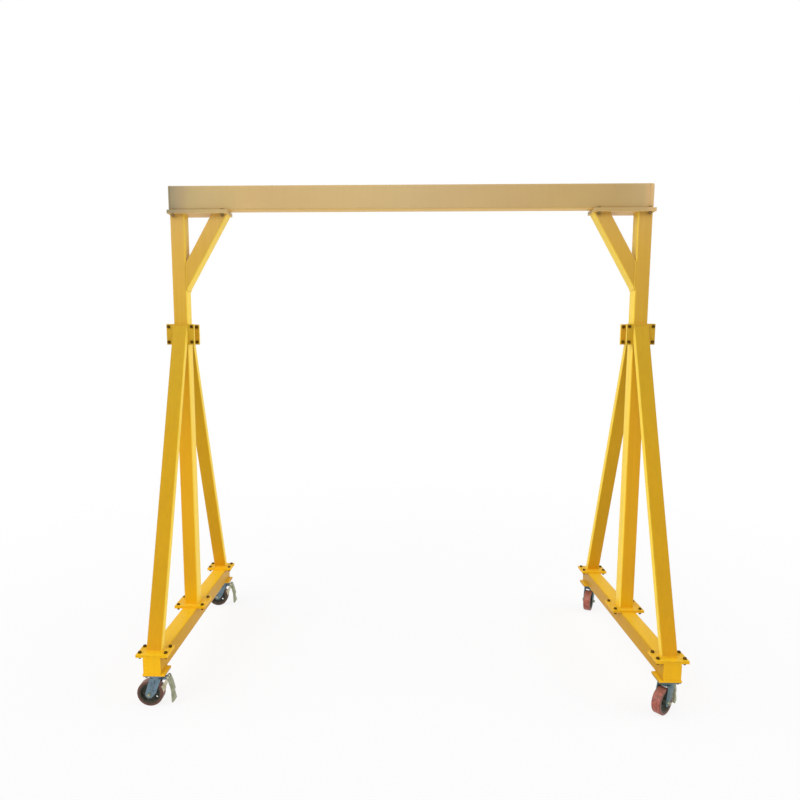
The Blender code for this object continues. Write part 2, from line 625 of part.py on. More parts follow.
def brake_shoe():
    """Arm from the brake pin to a curved pad in front of the tread; origin on the pin."""
    centre = (-TRAIL - PIN_FORWARD, WHEEL_RADIUS - PIN_HEIGHT)
    near = WHEEL_RADIUS + SHOE_CLEARANCE
    far = near + SHOE_PAD_THICKNESS
    low, high = (math.degrees(a) for a in SHOE_ARC)
    pad = arc(centre, near, low, high, 4) + arc(centre, far, high, low, 4)
    foot = arc(centre, far - WELD_SINK, high - 4, low + 4, 2)
    arm = arc((0, 0), EYE_RADIUS - WELD_SINK, -20, 200, 8) + foot
    eye = circle((0, 0), PIN_RADIUS + PIN_PLAY, PIN_SIDES)
    arm_slab = upright_slab(arm, -SHOE_HALF_WIDTH, SHOE_HALF_WIDTH, [eye])
    return united(arm_slab, upright_slab(pad, -SHOE_PAD_HALF_WIDTH, SHOE_PAD_HALF_WIDTH))


def brake_pedal():
    """Pressed channel that hangs from the brake pin and ends in a pointed toe."""
    toe = -PEDAL_LENGTH
    metal = PEDAL_METAL
    face = [PEDAL_NECK, PEDAL_KNEE, PEDAL_WAIST, (PEDAL_LIP[0], toe + PEDAL_LIP[1])]
    back = [(PEDAL_TOE[1], toe + PEDAL_TOE_EDGE), *PEDAL_BACK]
    eye_radius = EYE_RADIUS + WELD_SINK
    outline = arc((0, 0), eye_radius, 200, 15, 9) + face + [(PEDAL_TOE[0], toe)] + back
    shell = upright_slab(outline, -PEDAL_OUTER, PEDAL_OUTER)
    room = [(eye_radius + WELD_SINK, POCKET_TOP), (eye_radius + WELD_SINK, 0.0)]
    room += [(x - metal, z) for x, z in face]
    room += [(PEDAL_TOE[0] - metal, toe + metal), (-POCKET_BACK, toe), (-POCKET_BACK, POCKET_TOP)]
    pocket = upright_slab(room, -PEDAL_INNER, PEDAL_INNER)
    eye_cut = across(rod(PIN_RADIUS + PIN_PLAY, -2 * PEDAL_OUTER, 2 * PEDAL_OUTER))
    return cut(shell, pocket, eye_cut)


def make_caster(corner, heading, materials):
    end, side = corner.split("_")
    out = -1 if side == "left" else 1
    x = out * (COLUMN_X + CASTER_X)
    y = CASTER_Y if end == "rear" else -CASTER_Y
    zinc, pale = materials["zinc"], materials["pale_zinc"]
    seat = anchor(f"caster_seat_{corner}", at=(x, y, 0))
    swivel = anchor(f"caster_swivel_{corner}", seat, turn=heading)
    hub = (-TRAIL, 0, WHEEL_RADIUS)
    pin = (PIN_FORWARD, 0, PIN_HEIGHT)
    name = f"caster_{corner}"
    place(f"{name}_top_plate", caster_plate(), zinc, seat)
    place(f"{name}_kingpin", kingpin(), zinc, seat)
    place(f"{name}_fork", fork(), zinc, swivel)
    place(f"{name}_axle", axle(), pale, swivel, at=hub)
    place(f"{name}_wheel_core", wheel_core(), materials["cast_iron"], swivel, at=hub)
    place(f"{name}_wheel_tread", wheel_tread(), materials["polyurethane"], swivel, at=hub)
    place(f"{name}_brake_pin", brake_pin(), pale, swivel, at=pin)
    place(f"{name}_brake_shoe", brake_shoe(), pale, swivel, at=pin)
    place(f"{name}_brake_pedal", brake_pedal(), pale, swivel, at=pin)


def main():
    for thing in list(bpy.data.objects):
        bpy.data.objects.remove(thing, do_unlink=True)
    materials = make_materials()
    paint = materials["yellow_paint"]
    make_beam(paint)
    for side, turn in (("right", 0.0), ("left", math.pi)):
        make_tower(side, turn, paint)
    for corner, heading in CASTER_HEADINGS.items():
        make_caster(corner, heading, materials)


main()
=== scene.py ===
# %% [markdown]
# # Finishing a portable gantry crane
# The crane's plain solids come packed as a fixed frame, with every part already in its place.
# This lesson dresses them: worn edges, weld beads, hexagon bolts, turned wheels and painted or
# zinc-plated finishes. Nothing is moved, so each new piece takes its place from the frame.

# %% Load the frame
import json
import math

import bmesh
import bpy
from mathutils import Matrix, Vector

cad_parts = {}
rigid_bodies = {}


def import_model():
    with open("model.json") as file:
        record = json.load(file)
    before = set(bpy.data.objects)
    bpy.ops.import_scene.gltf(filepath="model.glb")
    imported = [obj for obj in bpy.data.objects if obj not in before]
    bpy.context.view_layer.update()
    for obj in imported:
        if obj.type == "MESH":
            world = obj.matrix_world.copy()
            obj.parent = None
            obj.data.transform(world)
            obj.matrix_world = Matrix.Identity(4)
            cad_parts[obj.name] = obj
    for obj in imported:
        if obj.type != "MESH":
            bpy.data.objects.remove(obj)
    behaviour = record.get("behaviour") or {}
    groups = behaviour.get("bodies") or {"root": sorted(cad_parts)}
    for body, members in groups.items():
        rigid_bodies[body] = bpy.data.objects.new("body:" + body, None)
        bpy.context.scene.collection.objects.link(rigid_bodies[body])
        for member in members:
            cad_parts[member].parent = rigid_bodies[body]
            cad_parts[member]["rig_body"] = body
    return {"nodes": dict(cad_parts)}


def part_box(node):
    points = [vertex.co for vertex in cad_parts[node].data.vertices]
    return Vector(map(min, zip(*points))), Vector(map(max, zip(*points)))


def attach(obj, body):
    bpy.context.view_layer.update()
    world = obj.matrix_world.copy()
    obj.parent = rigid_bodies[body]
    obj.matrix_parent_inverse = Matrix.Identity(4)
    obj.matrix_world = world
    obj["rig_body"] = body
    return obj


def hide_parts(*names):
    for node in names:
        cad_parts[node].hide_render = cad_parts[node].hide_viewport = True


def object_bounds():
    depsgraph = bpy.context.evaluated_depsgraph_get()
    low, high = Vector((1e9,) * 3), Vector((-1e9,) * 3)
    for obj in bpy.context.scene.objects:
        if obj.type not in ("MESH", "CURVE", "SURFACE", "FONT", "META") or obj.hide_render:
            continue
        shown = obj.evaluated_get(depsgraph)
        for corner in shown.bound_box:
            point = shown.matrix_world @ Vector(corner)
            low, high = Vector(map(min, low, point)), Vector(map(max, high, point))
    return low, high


for thing in list(bpy.data.objects):
    bpy.data.objects.remove(thing)
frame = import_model()
cad_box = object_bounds()

# %% [markdown]
# ## Where the viewer stands
# The crane is three metres tall. The lens stands about four metres in front of the beam and two
# metres up, and looks slightly down. A focal length of 28 mm takes in the whole crane. The view
# is framed by shifting the lens, not by tilting it further, so the columns stay nearly upright.

# %% Camera
def into_scene(name, data):
    """An object that carries the data, linked into the scene."""
    thing = bpy.data.objects.new(name, data)
    bpy.context.scene.collection.objects.link(thing)
    return thing


lens = bpy.data.cameras.new("camera")
lens.sensor_width = 36.0
lens.lens = 28.475
lens.shift_x = 0.0256
lens.shift_y = 0.0243
camera = into_scene("camera", lens)
camera.location = (-0.089, -4.088, 2.060)
camera.rotation_euler = (math.radians(83.12), 0.0, math.radians(1.351))
bpy.context.scene.camera = camera
bpy.context.scene.view_settings.view_transform = "Standard"
print("camera at", tuple(camera.location))

# %% [markdown]
# ## A helper for shader nodes
# A material is a small network. Writing each node as one line, with what feeds it, keeps the
# network readable: a feed is either a number or the output of an earlier node.


# %% Shader node helpers
def add(tree, kind, feeds=(), **settings):
    """Add a node. Each feed is (socket, value or another node's output)."""
    made = tree.nodes.new(kind)
    for name, value in settings.items():
        setattr(made, name, value)
    for key, value in feeds:
        if isinstance(value, bpy.types.NodeSocket):
            tree.links.new(value, made.inputs[key])
        else:
            made.inputs[key].default_value = value
    return made


def maths(tree, operation, *values):
    feeds = list(enumerate(values))
    return add(tree, "ShaderNodeMath", feeds, operation=operation).outputs[0]


def blended(tree, factor, first, second):
    """Mix two colours."""
    mix = add(tree, "ShaderNodeMix", data_type="RGBA")
    for socket, value in ((mix.inputs[0], factor), (mix.inputs[6], first), (mix.inputs[7], second)):
        if isinstance(value, bpy.types.NodeSocket):
            tree.links.new(value, socket)
        else:
            socket.default_value = value
    return mix.outputs[2]


def ramp(tree, factor, stops):
    """A colour ramp with the given (position, colour) stops."""
    made = add(tree, "ShaderNodeValToRGB", [(0, factor)])
    points = made.color_ramp.elements
    while len(points) < len(stops):
        points.new(1.0)
    for point, (position, colour) in zip(points, stops):
        point.position = position
        point.color = colour
    return made.outputs[0]


def count_nodes(owner):
    """Print how many nodes a group, a material or the world has."""
    tree = getattr(owner, "node_tree", owner)
    print(owner.name, len(tree.nodes), "nodes")


# %% [markdown]
# A finish depends on where a point lies, in metres, and on which way it faces. Both are read in
# the piece's own space, so they move with it. These helpers read them, lay noise over them, and
# turn one range of values into another.


# %% Reading the surface
def remap(tree, value, low, high, start, end):
    """Turn a value between low and high into one between start and end, held at both ends."""
    feeds = [(0, value), (1, low), (2, high), (3, start), (4, end)]
    return add(tree, "ShaderNodeMapRange", feeds).outputs[0]


def place_on(tree):
    """Where a point lies on its piece."""
    return add(tree, "ShaderNodeTexCoord").outputs["Object"]


def axes_of(tree, kind):
    """The x, y and z of a point's place (Object) or of the way it faces (Normal)."""
    spot = add(tree, "ShaderNodeTexCoord")
    return add(tree, "ShaderNodeSeparateXYZ", [(0, spot.outputs[kind])]).outputs


def noise(tree, place, scale, detail):
    """Cloudy noise between 0 and 1; a larger scale makes finer clouds."""
    feeds = [("Vector", place), ("Scale", scale), ("Detail", detail)]
    return add(tree, "ShaderNodeTexNoise", feeds).outputs[0]


# %% [markdown]
# A paint chart writes a colour as three numbers from 0 to 255, spaced for the eye. Shaders add
# and multiply light, so they need the linear value behind each number.


# %% Colours
def swatch(red, green, blue):
    """A paint chart's 0 to 255 colour as the linear colour that shaders use."""
    linear = []
    for value in (red, green, blue):
        part = value / 255
        linear.append(part / 12.92 if part <= 0.04045 else ((part + 0.055) / 1.055) ** 2.4)
    return (*linear, 1.0)


def grey(value):
    return (value, value, value, 1.0)


print("mid grey is", round(swatch(128, 128, 128)[0], 3), "in linear light")

# %% [markdown]
# ## Studio
# A white cyclorama would reflect in the zinc and lift the shadows. The world shows plain white
# to the camera and to reflections, and gives the crane a softer amount of light. Three broad
# suns stand for the lamps: one high at the front left, and one from either side.

# %% World
def seen_directly(tree):
    """1 for rays from the camera, from a reflection or through glass, and 0 for the rest."""
    path = add(tree, "ShaderNodeLightPath")
    seen = maths(tree, "MAXIMUM", path.outputs["Is Camera Ray"], path.outputs["Is Glossy Ray"])
    return maths(tree, "MAXIMUM", seen, path.outputs["Is Transmission Ray"])


world = bpy.data.worlds.new("studio")
bpy.context.scene.world = world
world.use_nodes = True
sky = world.node_tree
sky.nodes.clear()
ambient = add(sky, "ShaderNodeBackground", [("Color", grey(1.0)), ("Strength", 0.52)])
backdrop = add(sky, "ShaderNodeBackground", [("Color", grey(1.0)), ("Strength", 1.0)])
shades = [(0, seen_directly(sky)), (1, ambient.outputs[0]), (2, backdrop.outputs[0])]
both = add(sky, "ShaderNodeMixShader", shades)
add(sky, "ShaderNodeOutputWorld", [("Surface", both.outputs[0])])
count_nodes(world)

# %% [markdown]
# A wide sun casts the soft-edged shadow of a large lamp. Its angle says how wide it looks.


# %% Lamps
def lamp(name, towards, strength, softness):
    data = bpy.data.lights.new(name, "SUN")
    data.energy = strength
    data.angle = math.radians(softness)
    thing = into_scene(name, data)
    thing.rotation_euler = Vector(towards).to_track_quat("-Z", "Y").to_euler()
    print(name, strength)


lamp("key", (0.45, 0.62, -0.65), 0.95, 40)
lamp("left_side", (0.95, 0.16, -0.30), 1.15, 60)
lamp("right_side", (-0.95, 0.16, -0.30), 1.45, 60)

# %% [markdown]
# The floor is white paper. It keeps the crane's soft shadow, and further out it fades into the
# backdrop: the share of plain white grows with the distance from the middle.

# %% Floor
def open_material(name):
    made = bpy.data.materials.new(name)
    made.use_nodes = True
    made.node_tree.nodes.clear()
    return made, made.node_tree


paper, tree = open_material("white_paper")
place = place_on(tree)
spread = add(tree, "ShaderNodeVectorMath", [(0, place)], operation="LENGTH")
fade = remap(tree, spread.outputs["Value"], 2.2, 6.0, 0.84, 1.0)
share = maths(tree, "MULTIPLY", seen_directly(tree), fade)
tone = ramp(tree, noise(tree, place, 60.0, 4.0), [(0.3, grey(0.86)), (0.7, grey(0.90))])
sheet = add(tree, "ShaderNodeBsdfPrincipled", [("Base Color", tone), ("Roughness", 0.9)])
white = add(tree, "ShaderNodeEmission", [("Color", grey(1.0)), ("Strength", 1.0)])
mixed = add(tree, "ShaderNodeMixShader", [(0, share), (1, sheet.outputs[0]), (2, white.outputs[0])])
add(tree, "ShaderNodeOutputMaterial", [("Surface", mixed.outputs[0])])

floor_mesh = bpy.data.meshes.new("floor")
bm = bmesh.new()
bmesh.ops.create_grid(bm, x_segments=1, y_segments=1, size=30.0)
bm.to_mesh(floor_mesh)
bm.free()
floor_mesh.materials.append(paper)
floor = into_scene("floor", floor_mesh)
count_nodes(paper)


# %% [markdown]
# ## Effects that several finishes share
# Edge wear, settled dust, the fine dimples of sprayed paint and the crystal pattern of zinc turn
# up in more than one finish. Each is a node group: built once, then placed in each material
# with its own values. The groups hand out masks, values and normals only, and the shader itself
# stays in the material.


# %% A helper that opens a node group
def new_group(name, inputs, outputs):
    """Make a group; inputs are (name, default) numbers, outputs are (name, socket type)."""
    group = bpy.data.node_groups.new(name, "ShaderNodeTree")
    for label, value in inputs:
        socket = group.interface.new_socket(label, in_out="INPUT", socket_type="NodeSocketFloat")
        socket.default_value = value
    for label, kind in outputs:
        group.interface.new_socket(label, in_out="OUTPUT", socket_type=kind)
    return group, group.nodes.new("NodeGroupInput").outputs, group.nodes.new("NodeGroupOutput").inputs


def use(tree, group, **values):
    """Place a group in a material with its own values."""
    made = add(tree, "ShaderNodeGroup", node_tree=group)
    for name, value in values.items():
        made.inputs[name.replace("_", " ")].default_value = value
    return made.outputs


# %% [markdown]
# ### Edge wear
# Paint thins and chips first along edges, where straps and hands rub. The Bevel node returns the
# normal that a rounded edge would have. Where it differs from the true normal there is an edge
# nearby. Broad noise picks the stretches that took the knocks, and fine noise breaks those
# into separate chips.

# %% Edge wear
edge_wear, knob, out = new_group("edge_wear", [("Reach", 0.003), ("Amount", 0.5), ("Chip Scale", 90.0)],
                                 [("Mask", "NodeSocketFloat")])
rounded = add(edge_wear, "ShaderNodeBevel", [("Radius", knob["Reach"])], samples=4)
true = add(edge_wear, "ShaderNodeNewGeometry")
match = add(edge_wear, "ShaderNodeVectorMath", [(0, rounded.outputs[0]), (1, true.outputs["Normal"])],
            operation="DOT_PRODUCT")
bend = maths(edge_wear, "SUBTRACT", 1.0, match.outputs["Value"])
near = remap(edge_wear, bend, 0.03, 0.20, 0.0, 1.0)
place = place_on(edge_wear)
chips = noise(edge_wear, place, knob["Chip Scale"], 4.0)
broad = noise(edge_wear, place, maths(edge_wear, "DIVIDE", knob["Chip Scale"], 9.0), 2.0)
least = maths(edge_wear, "MULTIPLY_ADD", knob["Amount"], -0.30, 0.645)
worn = maths(edge_wear, "MULTIPLY", maths(edge_wear, "SUBTRACT", broad, least), 12.0)
worn = add(edge_wear, "ShaderNodeClamp", [(0, worn)])
chipped = remap(edge_wear, chips, 0.46, 0.56, 0.0, 1.0)
there = maths(edge_wear, "MULTIPLY", near, worn.outputs[0])
edge_wear.links.new(maths(edge_wear, "MULTIPLY", chipped, there), out["Mask"])
count_nodes(edge_wear)

# %% [markdown]
# ### Dust
# Dust settles on faces that look up, thicker in some places than in others.

# %% Dust
dust, knob, out = new_group("dust", [("Amount", 0.5), ("Patch Scale", 6.0)], [("Mask", "NodeSocketFloat")])
upward = remap(dust, axes_of(dust, "Normal")["Z"], 0.35, 0.95, 0.0, 1.0)
patches = noise(dust, place_on(dust), knob["Patch Scale"], 6.0)
cover = remap(dust, patches, 0.32, 0.72, 0.15, 1.0)
layer = maths(dust, "MULTIPLY", upward, cover)
dust.links.new(maths(dust, "MULTIPLY", layer, knob["Amount"]), out["Mask"])
count_nodes(dust)

# %% [markdown]
# ### Fine relief
# Sprayed paint dries with the dimples of an orange's skin, castings keep the grain of the sand,
# and zinc is almost smooth. One group serves all three with a different scale and depth.

# %% Fine relief
relief, knob, out = new_group("relief", [("Scale", 300.0), ("Depth", 0.2)],
                              [("Normal", "NodeSocketVector")])
grain = noise(relief, place_on(relief), knob["Scale"], 3.0)
raised = [("Strength", knob["Depth"]), ("Distance", 0.0006), ("Height", grain)]
relief.links.new(add(relief, "ShaderNodeBump", raised).outputs[0], out["Normal"])
count_nodes(relief)

# %% [markdown]
# ### Rain streaks and broad cloudiness
# Seen from a few metres, old paint is never one even tone: it is cloudy, and dirt has run down
# the upright faces in soft streaks. Noise stretched along Z draws the streaks.

# %% Streaks
streaks, knob, out = new_group("streaks", [("Cloud Scale", 2.5), ("Streak Scale", 55.0)],
                               [("Clouds", "NodeSocketFloat"), ("Streaks", "NodeSocketFloat")])
place = place_on(streaks)
streaks.links.new(noise(streaks, place, knob["Cloud Scale"], 5.0), out["Clouds"])
pulled = add(streaks, "ShaderNodeMapping", [("Vector", place), ("Scale", (1.0, 1.0, 0.04))])
runs = noise(streaks, pulled.outputs[0], knob["Streak Scale"], 3.0)
streaks.links.new(remap(streaks, runs, 0.45, 0.75, 0.0, 1.0), out["Streaks"])
count_nodes(streaks)

# %% [markdown]
# ### Zinc spangle
# A zinc skin shows flat crystals a few millimetres across, each a little lighter or darker.
# A Voronoi pattern gives every crystal its own random value, and soft noise adds the stains.

# %% Spangle
spangle, knob, out = new_group("spangle", [("Crystal Scale", 260.0)],
                               [("Tone", "NodeSocketFloat"), ("Stain", "NodeSocketFloat")])
place = place_on(spangle)
crystals = add(spangle, "ShaderNodeTexVoronoi", [("Vector", place), ("Scale", knob["Crystal Scale"])])
parted = add(spangle, "ShaderNodeSeparateXYZ", [(0, crystals.outputs["Color"])])
spangle.links.new(parted.outputs[0], out["Tone"])
stain = noise(spangle, place, 38.0, 6.0)
spangle.links.new(remap(spangle, stain, 0.45, 0.72, 0.0, 1.0), out["Stain"])
count_nodes(spangle)


# %% [markdown]
# ## The yellow paint
# The towers are sprayed golden yellow, deep low down. Towards the beam they turn paler, and that paleness
# is painted glare from a bright backlight. A ramp along Z carries the base colour with the glare in it.
# Clouds, streaks, dust and chips are laid over it in that order, as they would happen. One function does
# this for every painted piece.


# %% Yellow paint
def close_material(tree, feeds):
    shader = add(tree, "ShaderNodeBsdfPrincipled", feeds)
    add(tree, "ShaderNodeOutputMaterial", [("Surface", shader.outputs[0])])


def weathered_paint(tree, base, wear, streaking):
    """Cloudy, streaked, dusted and chipped paint over a base colour."""
    age = use(tree, streaks)
    darker = blended(tree, 0.16, base, swatch(150, 110, 40))
    lighter = blended(tree, 0.10, base, swatch(255, 214, 80))
    cloudy = blended(tree, age["Clouds"], darker, lighter)
    runs = maths(tree, "MULTIPLY", age["Streaks"], streaking)
    streaked = blended(tree, runs, cloudy, swatch(134, 100, 44))
    settled = use(tree, dust, Amount=0.10)
    dusty = blended(tree, settled["Mask"], streaked, swatch(226, 196, 120))
    chips = use(tree, edge_wear, Amount=wear)
    colour = blended(tree, chips["Mask"], dusty, swatch(118, 90, 52))
    rough = maths(tree, "MULTIPLY_ADD", age["Clouds"], 0.16, 0.32)
    rough = maths(tree, "MULTIPLY_ADD", settled["Mask"], 0.5, rough)
    rough = maths(tree, "MULTIPLY_ADD", chips["Mask"], 0.2, rough)
    skin = use(tree, relief, Scale=420.0, Depth=0.10)
    return [("Base Color", colour), ("Roughness", rough), ("Normal", skin["Normal"]),
            ("Specular IOR Level", 0.12)]


# %% [markdown]
# The gold also carries painted light and shade, not the same on every face. The long sides of the base
# beams get painted shade, the faces of the uprights that look in under the beam get painted light, and so
# do the tops of plates, as a painted highlight. The height, and the way that a point faces, pick these
# faces out, and each gets its own tone.

# %% Tower paint
TOP_OF_BEAM = cad_box[1][2]
BASE_SIDE_SHADE_END = 0.300      # the painted shade on the base beams' sides reaches up to this height
INNER_LIGHT_START = 0.320   # and the painted light on the uprights' inner faces starts at this one
SOFTENED = 0.008            # height over which one tone passes into the next


def gold_paint_and_light(name, stops):
    """The towers' paint with painted light and shade; stops are (height in metres, colour), and the right
    tower is browner, as painted shade.
    """
    made, tree = open_material(name)
    spot, facing = axes_of(tree, "Object"), axes_of(tree, "Normal")
    level = maths(tree, "DIVIDE", spot["Z"], TOP_OF_BEAM)
    # The ramp carries the paint's colour, and painted glare from a bright backlight that makes it paler
    # towards the beam.
    gold = ramp(tree, level, [(height / TOP_OF_BEAM, colour) for height, colour in stops])
    # Painted shade: the right tower is darker and browner towards +X.
    browner = blended(tree, remap(tree, spot["X"], -1.3, 1.3, 0.0, 0.20), gold, swatch(150, 104, 16))

    # Painted shade on the long sides of the base beams, low down.
    low = remap(tree, spot["Z"], BASE_SIDE_SHADE_END, BASE_SIDE_SHADE_END + SOFTENED, 0.62, 0.0)
    base_side_shade = maths(tree, "MULTIPLY", maths(tree, "ABSOLUTE", facing["X"]), low)
    base_shaded = blended(tree, base_side_shade, browner, swatch(158, 110, 10))

    # Painted light on the uprights' faces that look in under the beam.
    outward = maths(tree, "MULTIPLY", facing["X"], spot["X"])
    inner = remap(tree, outward, -1.1, -0.1, 1.0, 0.0)
    high = remap(tree, spot["Z"], INNER_LIGHT_START, INNER_LIGHT_START + SOFTENED, 0.0, 0.85)
    inner_lit = blended(tree, maths(tree, "MULTIPLY", inner, high), base_shaded, swatch(255, 222, 80))

    # A painted highlight on faces that look up, such as the tops of plates.
    upward = remap(tree, facing["Z"], 0.90, 0.98, 0.0, 0.55)
    top_lit = blended(tree, upward, inner_lit, swatch(255, 206, 16))
    close_material(tree, weathered_paint(tree, top_lit, wear=0.35, streaking=0.10))
    return made


# These stops grow paler upwards; that paleness is painted glare from a bright backlight.
tower_paint_and_light = gold_paint_and_light("tower_paint_and_light", [(0.22, swatch(250, 188, 2)), (0.33, swatch(246, 186, 2)),
                                         (0.50, swatch(230, 168, 6)), (1.30, swatch(230, 168, 16)),
                                         (1.95, swatch(222, 168, 34)), (2.20, swatch(212, 166, 52)),
                                         (2.62, swatch(213, 169, 72)), (2.87, swatch(213, 172, 94))])
count_nodes(tower_paint_and_light)

# %% [markdown]
# The legs' gold is a little duller than the columns', as painted shade on their leaning faces, while their
# foot plates match the base beams, so the same function makes a second paint with a ramp of its own. Like
# the columns', it grows paler upwards with painted glare.

# %% Leg paint
leg_paint_and_light = gold_paint_and_light("leg_paint_and_light", [(0.320, swatch(250, 192, 2)), (0.323, swatch(224, 158, 2)),
                                     (0.60, swatch(208, 154, 2)), (1.00, swatch(207, 156, 6)),
                                     (1.45, swatch(207, 159, 12)), (1.80, swatch(205, 162, 26)),
                                     (2.10, swatch(206, 164, 38))])
count_nodes(leg_paint_and_light)

# %% [markdown]
# The beam's sand colour is its yellow paint with painted glare from a bright backlight laid over it. It is
# greyer at its left end and browner towards the right, so its ramp runs along X. A little noise keeps the
# changes of tone from ending in straight lines. Faces that look down get painted light, as if from the
# floor below, and turn a warmer yellow.

# %% Beam paint
HALF_BEAM = 1.5
beam_paint_and_light, tree = open_material("beam_paint_and_light")
along = remap(tree, axes_of(tree, "Object")["X"], -HALF_BEAM, HALF_BEAM, 0.0, 1.0)
cloud = use(tree, streaks, Cloud_Scale=5.0)
shifted = maths(tree, "MULTIPLY_ADD", maths(tree, "SUBTRACT", cloud["Clouds"], 0.5), 0.03, along)
# The sand colour is the yellow paint under painted glare; greyer at the left end, browner towards the
# right.
sand = ramp(tree, shifted, [(0.0, swatch(148, 140, 116)), (0.027, swatch(172, 152, 122)),
                            (0.045, swatch(186, 165, 123)), (0.08, swatch(194, 171, 125)),
                            (0.125, swatch(200, 174, 124)), (0.17, swatch(206, 175, 124)),
                            (0.5, swatch(204, 178, 131)), (0.7, swatch(198, 169, 121)),
                            (0.82, swatch(192, 163, 112)), (0.917, swatch(184, 157, 109)),
                            (0.98, swatch(186, 162, 118)), (0.994, swatch(208, 174, 128))])
# Painted light, as from the floor below, on faces that look down.
underside_light = remap(tree, axes_of(tree, "Normal")["Z"], -0.3, -0.9, 0.0, 0.8)
underside_lit = blended(tree, underside_light, sand, swatch(240, 196, 112))
close_material(tree, weathered_paint(tree, underside_lit, wear=0.25, streaking=0.03))
count_nodes(beam_paint_and_light)


# %% [markdown]
# ## Metals, castings and rubber
# The casters' forks are bluish zinc, the brakes are a yellower zinc, and the bolts are a dull
# brown, paler and dustier up at the beam. The wheel centres are black painted castings.
# All share one recipe: a base tone, crystals, stains, dust and bright rubbed edges.


# %% Metal finishes
def plated(name, tone, stain_tone, rough, metallic, edge_tone, dirt=0.25, depth=0.12, gleam=0.5,
           right_tone=None):
    """A metal; right_tone is its tone on the right-hand tower, where that differs."""
    made, tree = open_material(name)
    if right_tone:
        side = remap(tree, axes_of(tree, "Object")["X"], -0.5, 0.5, 0.0, 1.0)
        tone = blended(tree, side, tone, right_tone)
    crystal = use(tree, spangle)
    light = blended(tree, 0.35, tone, edge_tone)
    varied = blended(tree, maths(tree, "MULTIPLY", crystal["Tone"], 0.5), tone, light)
    stained = blended(tree, maths(tree, "MULTIPLY", crystal["Stain"], 0.55), varied, stain_tone)
    settled = use(tree, dust, Amount=dirt, Patch_Scale=25.0)
    dusty = blended(tree, settled["Mask"], stained, swatch(150, 140, 118))
    rubbed = use(tree, edge_wear, Reach=0.0015, Amount=0.9, Chip_Scale=160.0)
    colour = blended(tree, rubbed["Mask"], dusty, edge_tone)
    skin = use(tree, relief, Scale=900.0, Depth=depth)
    gloss = maths(tree, "MULTIPLY_ADD", crystal["Stain"], 0.18, rough)
    gloss = maths(tree, "MULTIPLY_ADD", crystal["Tone"], 0.06, gloss)
    shine = maths(tree, "MULTIPLY_ADD", settled["Mask"], -0.6 * metallic, metallic)
    close_material(tree, [("Base Color", colour), ("Roughness", gloss), ("Metallic", shine),
                          ("Normal", skin["Normal"]), ("Specular IOR Level", gleam)])
    return made


blue_zinc = plated("blue_zinc", swatch(102, 126, 140), swatch(62, 78, 84), 0.38, 0.80,
                   swatch(176, 190, 200), right_tone=swatch(70, 96, 100))
brake_zinc = plated("brake_zinc", swatch(150, 154, 126), swatch(104, 104, 80), 0.42, 0.75,
                    swatch(214, 212, 190))
bright_zinc = plated("bright_zinc", swatch(214, 208, 180), swatch(150, 142, 112), 0.38, 0.7,
                     swatch(240, 236, 220))
bolt_steel = plated("bolt_steel", swatch(86, 62, 2), swatch(50, 36, 2), 0.66, 0.0,
                    swatch(140, 102, 24), dirt=0.04, gleam=0.1)
high_bolt_steel = plated("high_bolt_steel", swatch(140, 116, 66), swatch(88, 70, 36), 0.60, 0.1,
                         swatch(176, 156, 110), gleam=0.3)
casting = plated("casting", swatch(46, 50, 38), swatch(30, 28, 24), 0.52, 0.15,
                 swatch(96, 90, 76), dirt=0.3, depth=0.5)
METALS = (blue_zinc, brake_zinc, bright_zinc, bolt_steel, high_bolt_steel, casting)
print("metals", [metal.name for metal in METALS])

# %% [markdown]
# The tread is red-brown polyurethane, cast round the wheel: slightly glossy, scuffed where it has rolled,
# with grit pressed in. Its side walls get a browner painted shade, and the mesh marks them with a number
# of its own, called side_wall. The left pair gets painted shade as well, darkest brown on the rear one of
# that pair, so the tone also follows the place of the wheel.

# %% Tread
tread_rubber_and_shade, tree = open_material("tread_rubber_and_shade")
spot = axes_of(tree, "Object")
scuffs = noise(tree, place_on(tree), 70.0, 8.0)
red = ramp(tree, scuffs, [(0.30, swatch(104, 54, 42)), (0.52, swatch(154, 78, 62)),
                          (0.75, swatch(176, 104, 84))])
# Painted shade: the left pair of wheels is darker, the rear left one darkest.
left_shade_place = maths(tree, "MULTIPLY_ADD", spot["Y"], -0.35, spot["X"])
darker = remap(tree, left_shade_place, -1.6, -0.75, 0.95, 0.0)
red = blended(tree, darker, red, swatch(74, 54, 38))
# Painted shade on the tread's side walls.
wall = add(tree, "ShaderNodeAttribute", attribute_name="side_wall")
red = blended(tree, maths(tree, "MULTIPLY", wall.outputs["Fac"], 0.66), red, swatch(70, 46, 30))
rubbed = use(tree, edge_wear, Reach=0.004, Amount=0.8, Chip_Scale=120.0)
worn = blended(tree, maths(tree, "MULTIPLY", rubbed["Mask"], 0.7), red, swatch(92, 60, 50))
settled = use(tree, dust, Amount=0.35, Patch_Scale=30.0)
dusty = blended(tree, settled["Mask"], worn, swatch(158, 132, 112))
skin = use(tree, relief, Scale=500.0, Depth=0.25)
gloss = maths(tree, "MULTIPLY_ADD", scuffs, 0.3, 0.28)
close_material(tree, [("Base Color", dusty), ("Roughness", gloss), ("Normal", skin["Normal"])])
count_nodes(tread_rubber_and_shade)


# %% [markdown]
# ## Shaping tools
# Most parts keep the frame's shape and need only what a machinist calls breaking the edges: no
# steel part has a perfectly sharp corner, and that thin rounded line is what catches the light.
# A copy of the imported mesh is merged, its flat triangles joined into whole faces, and its long
# edges bevelled.


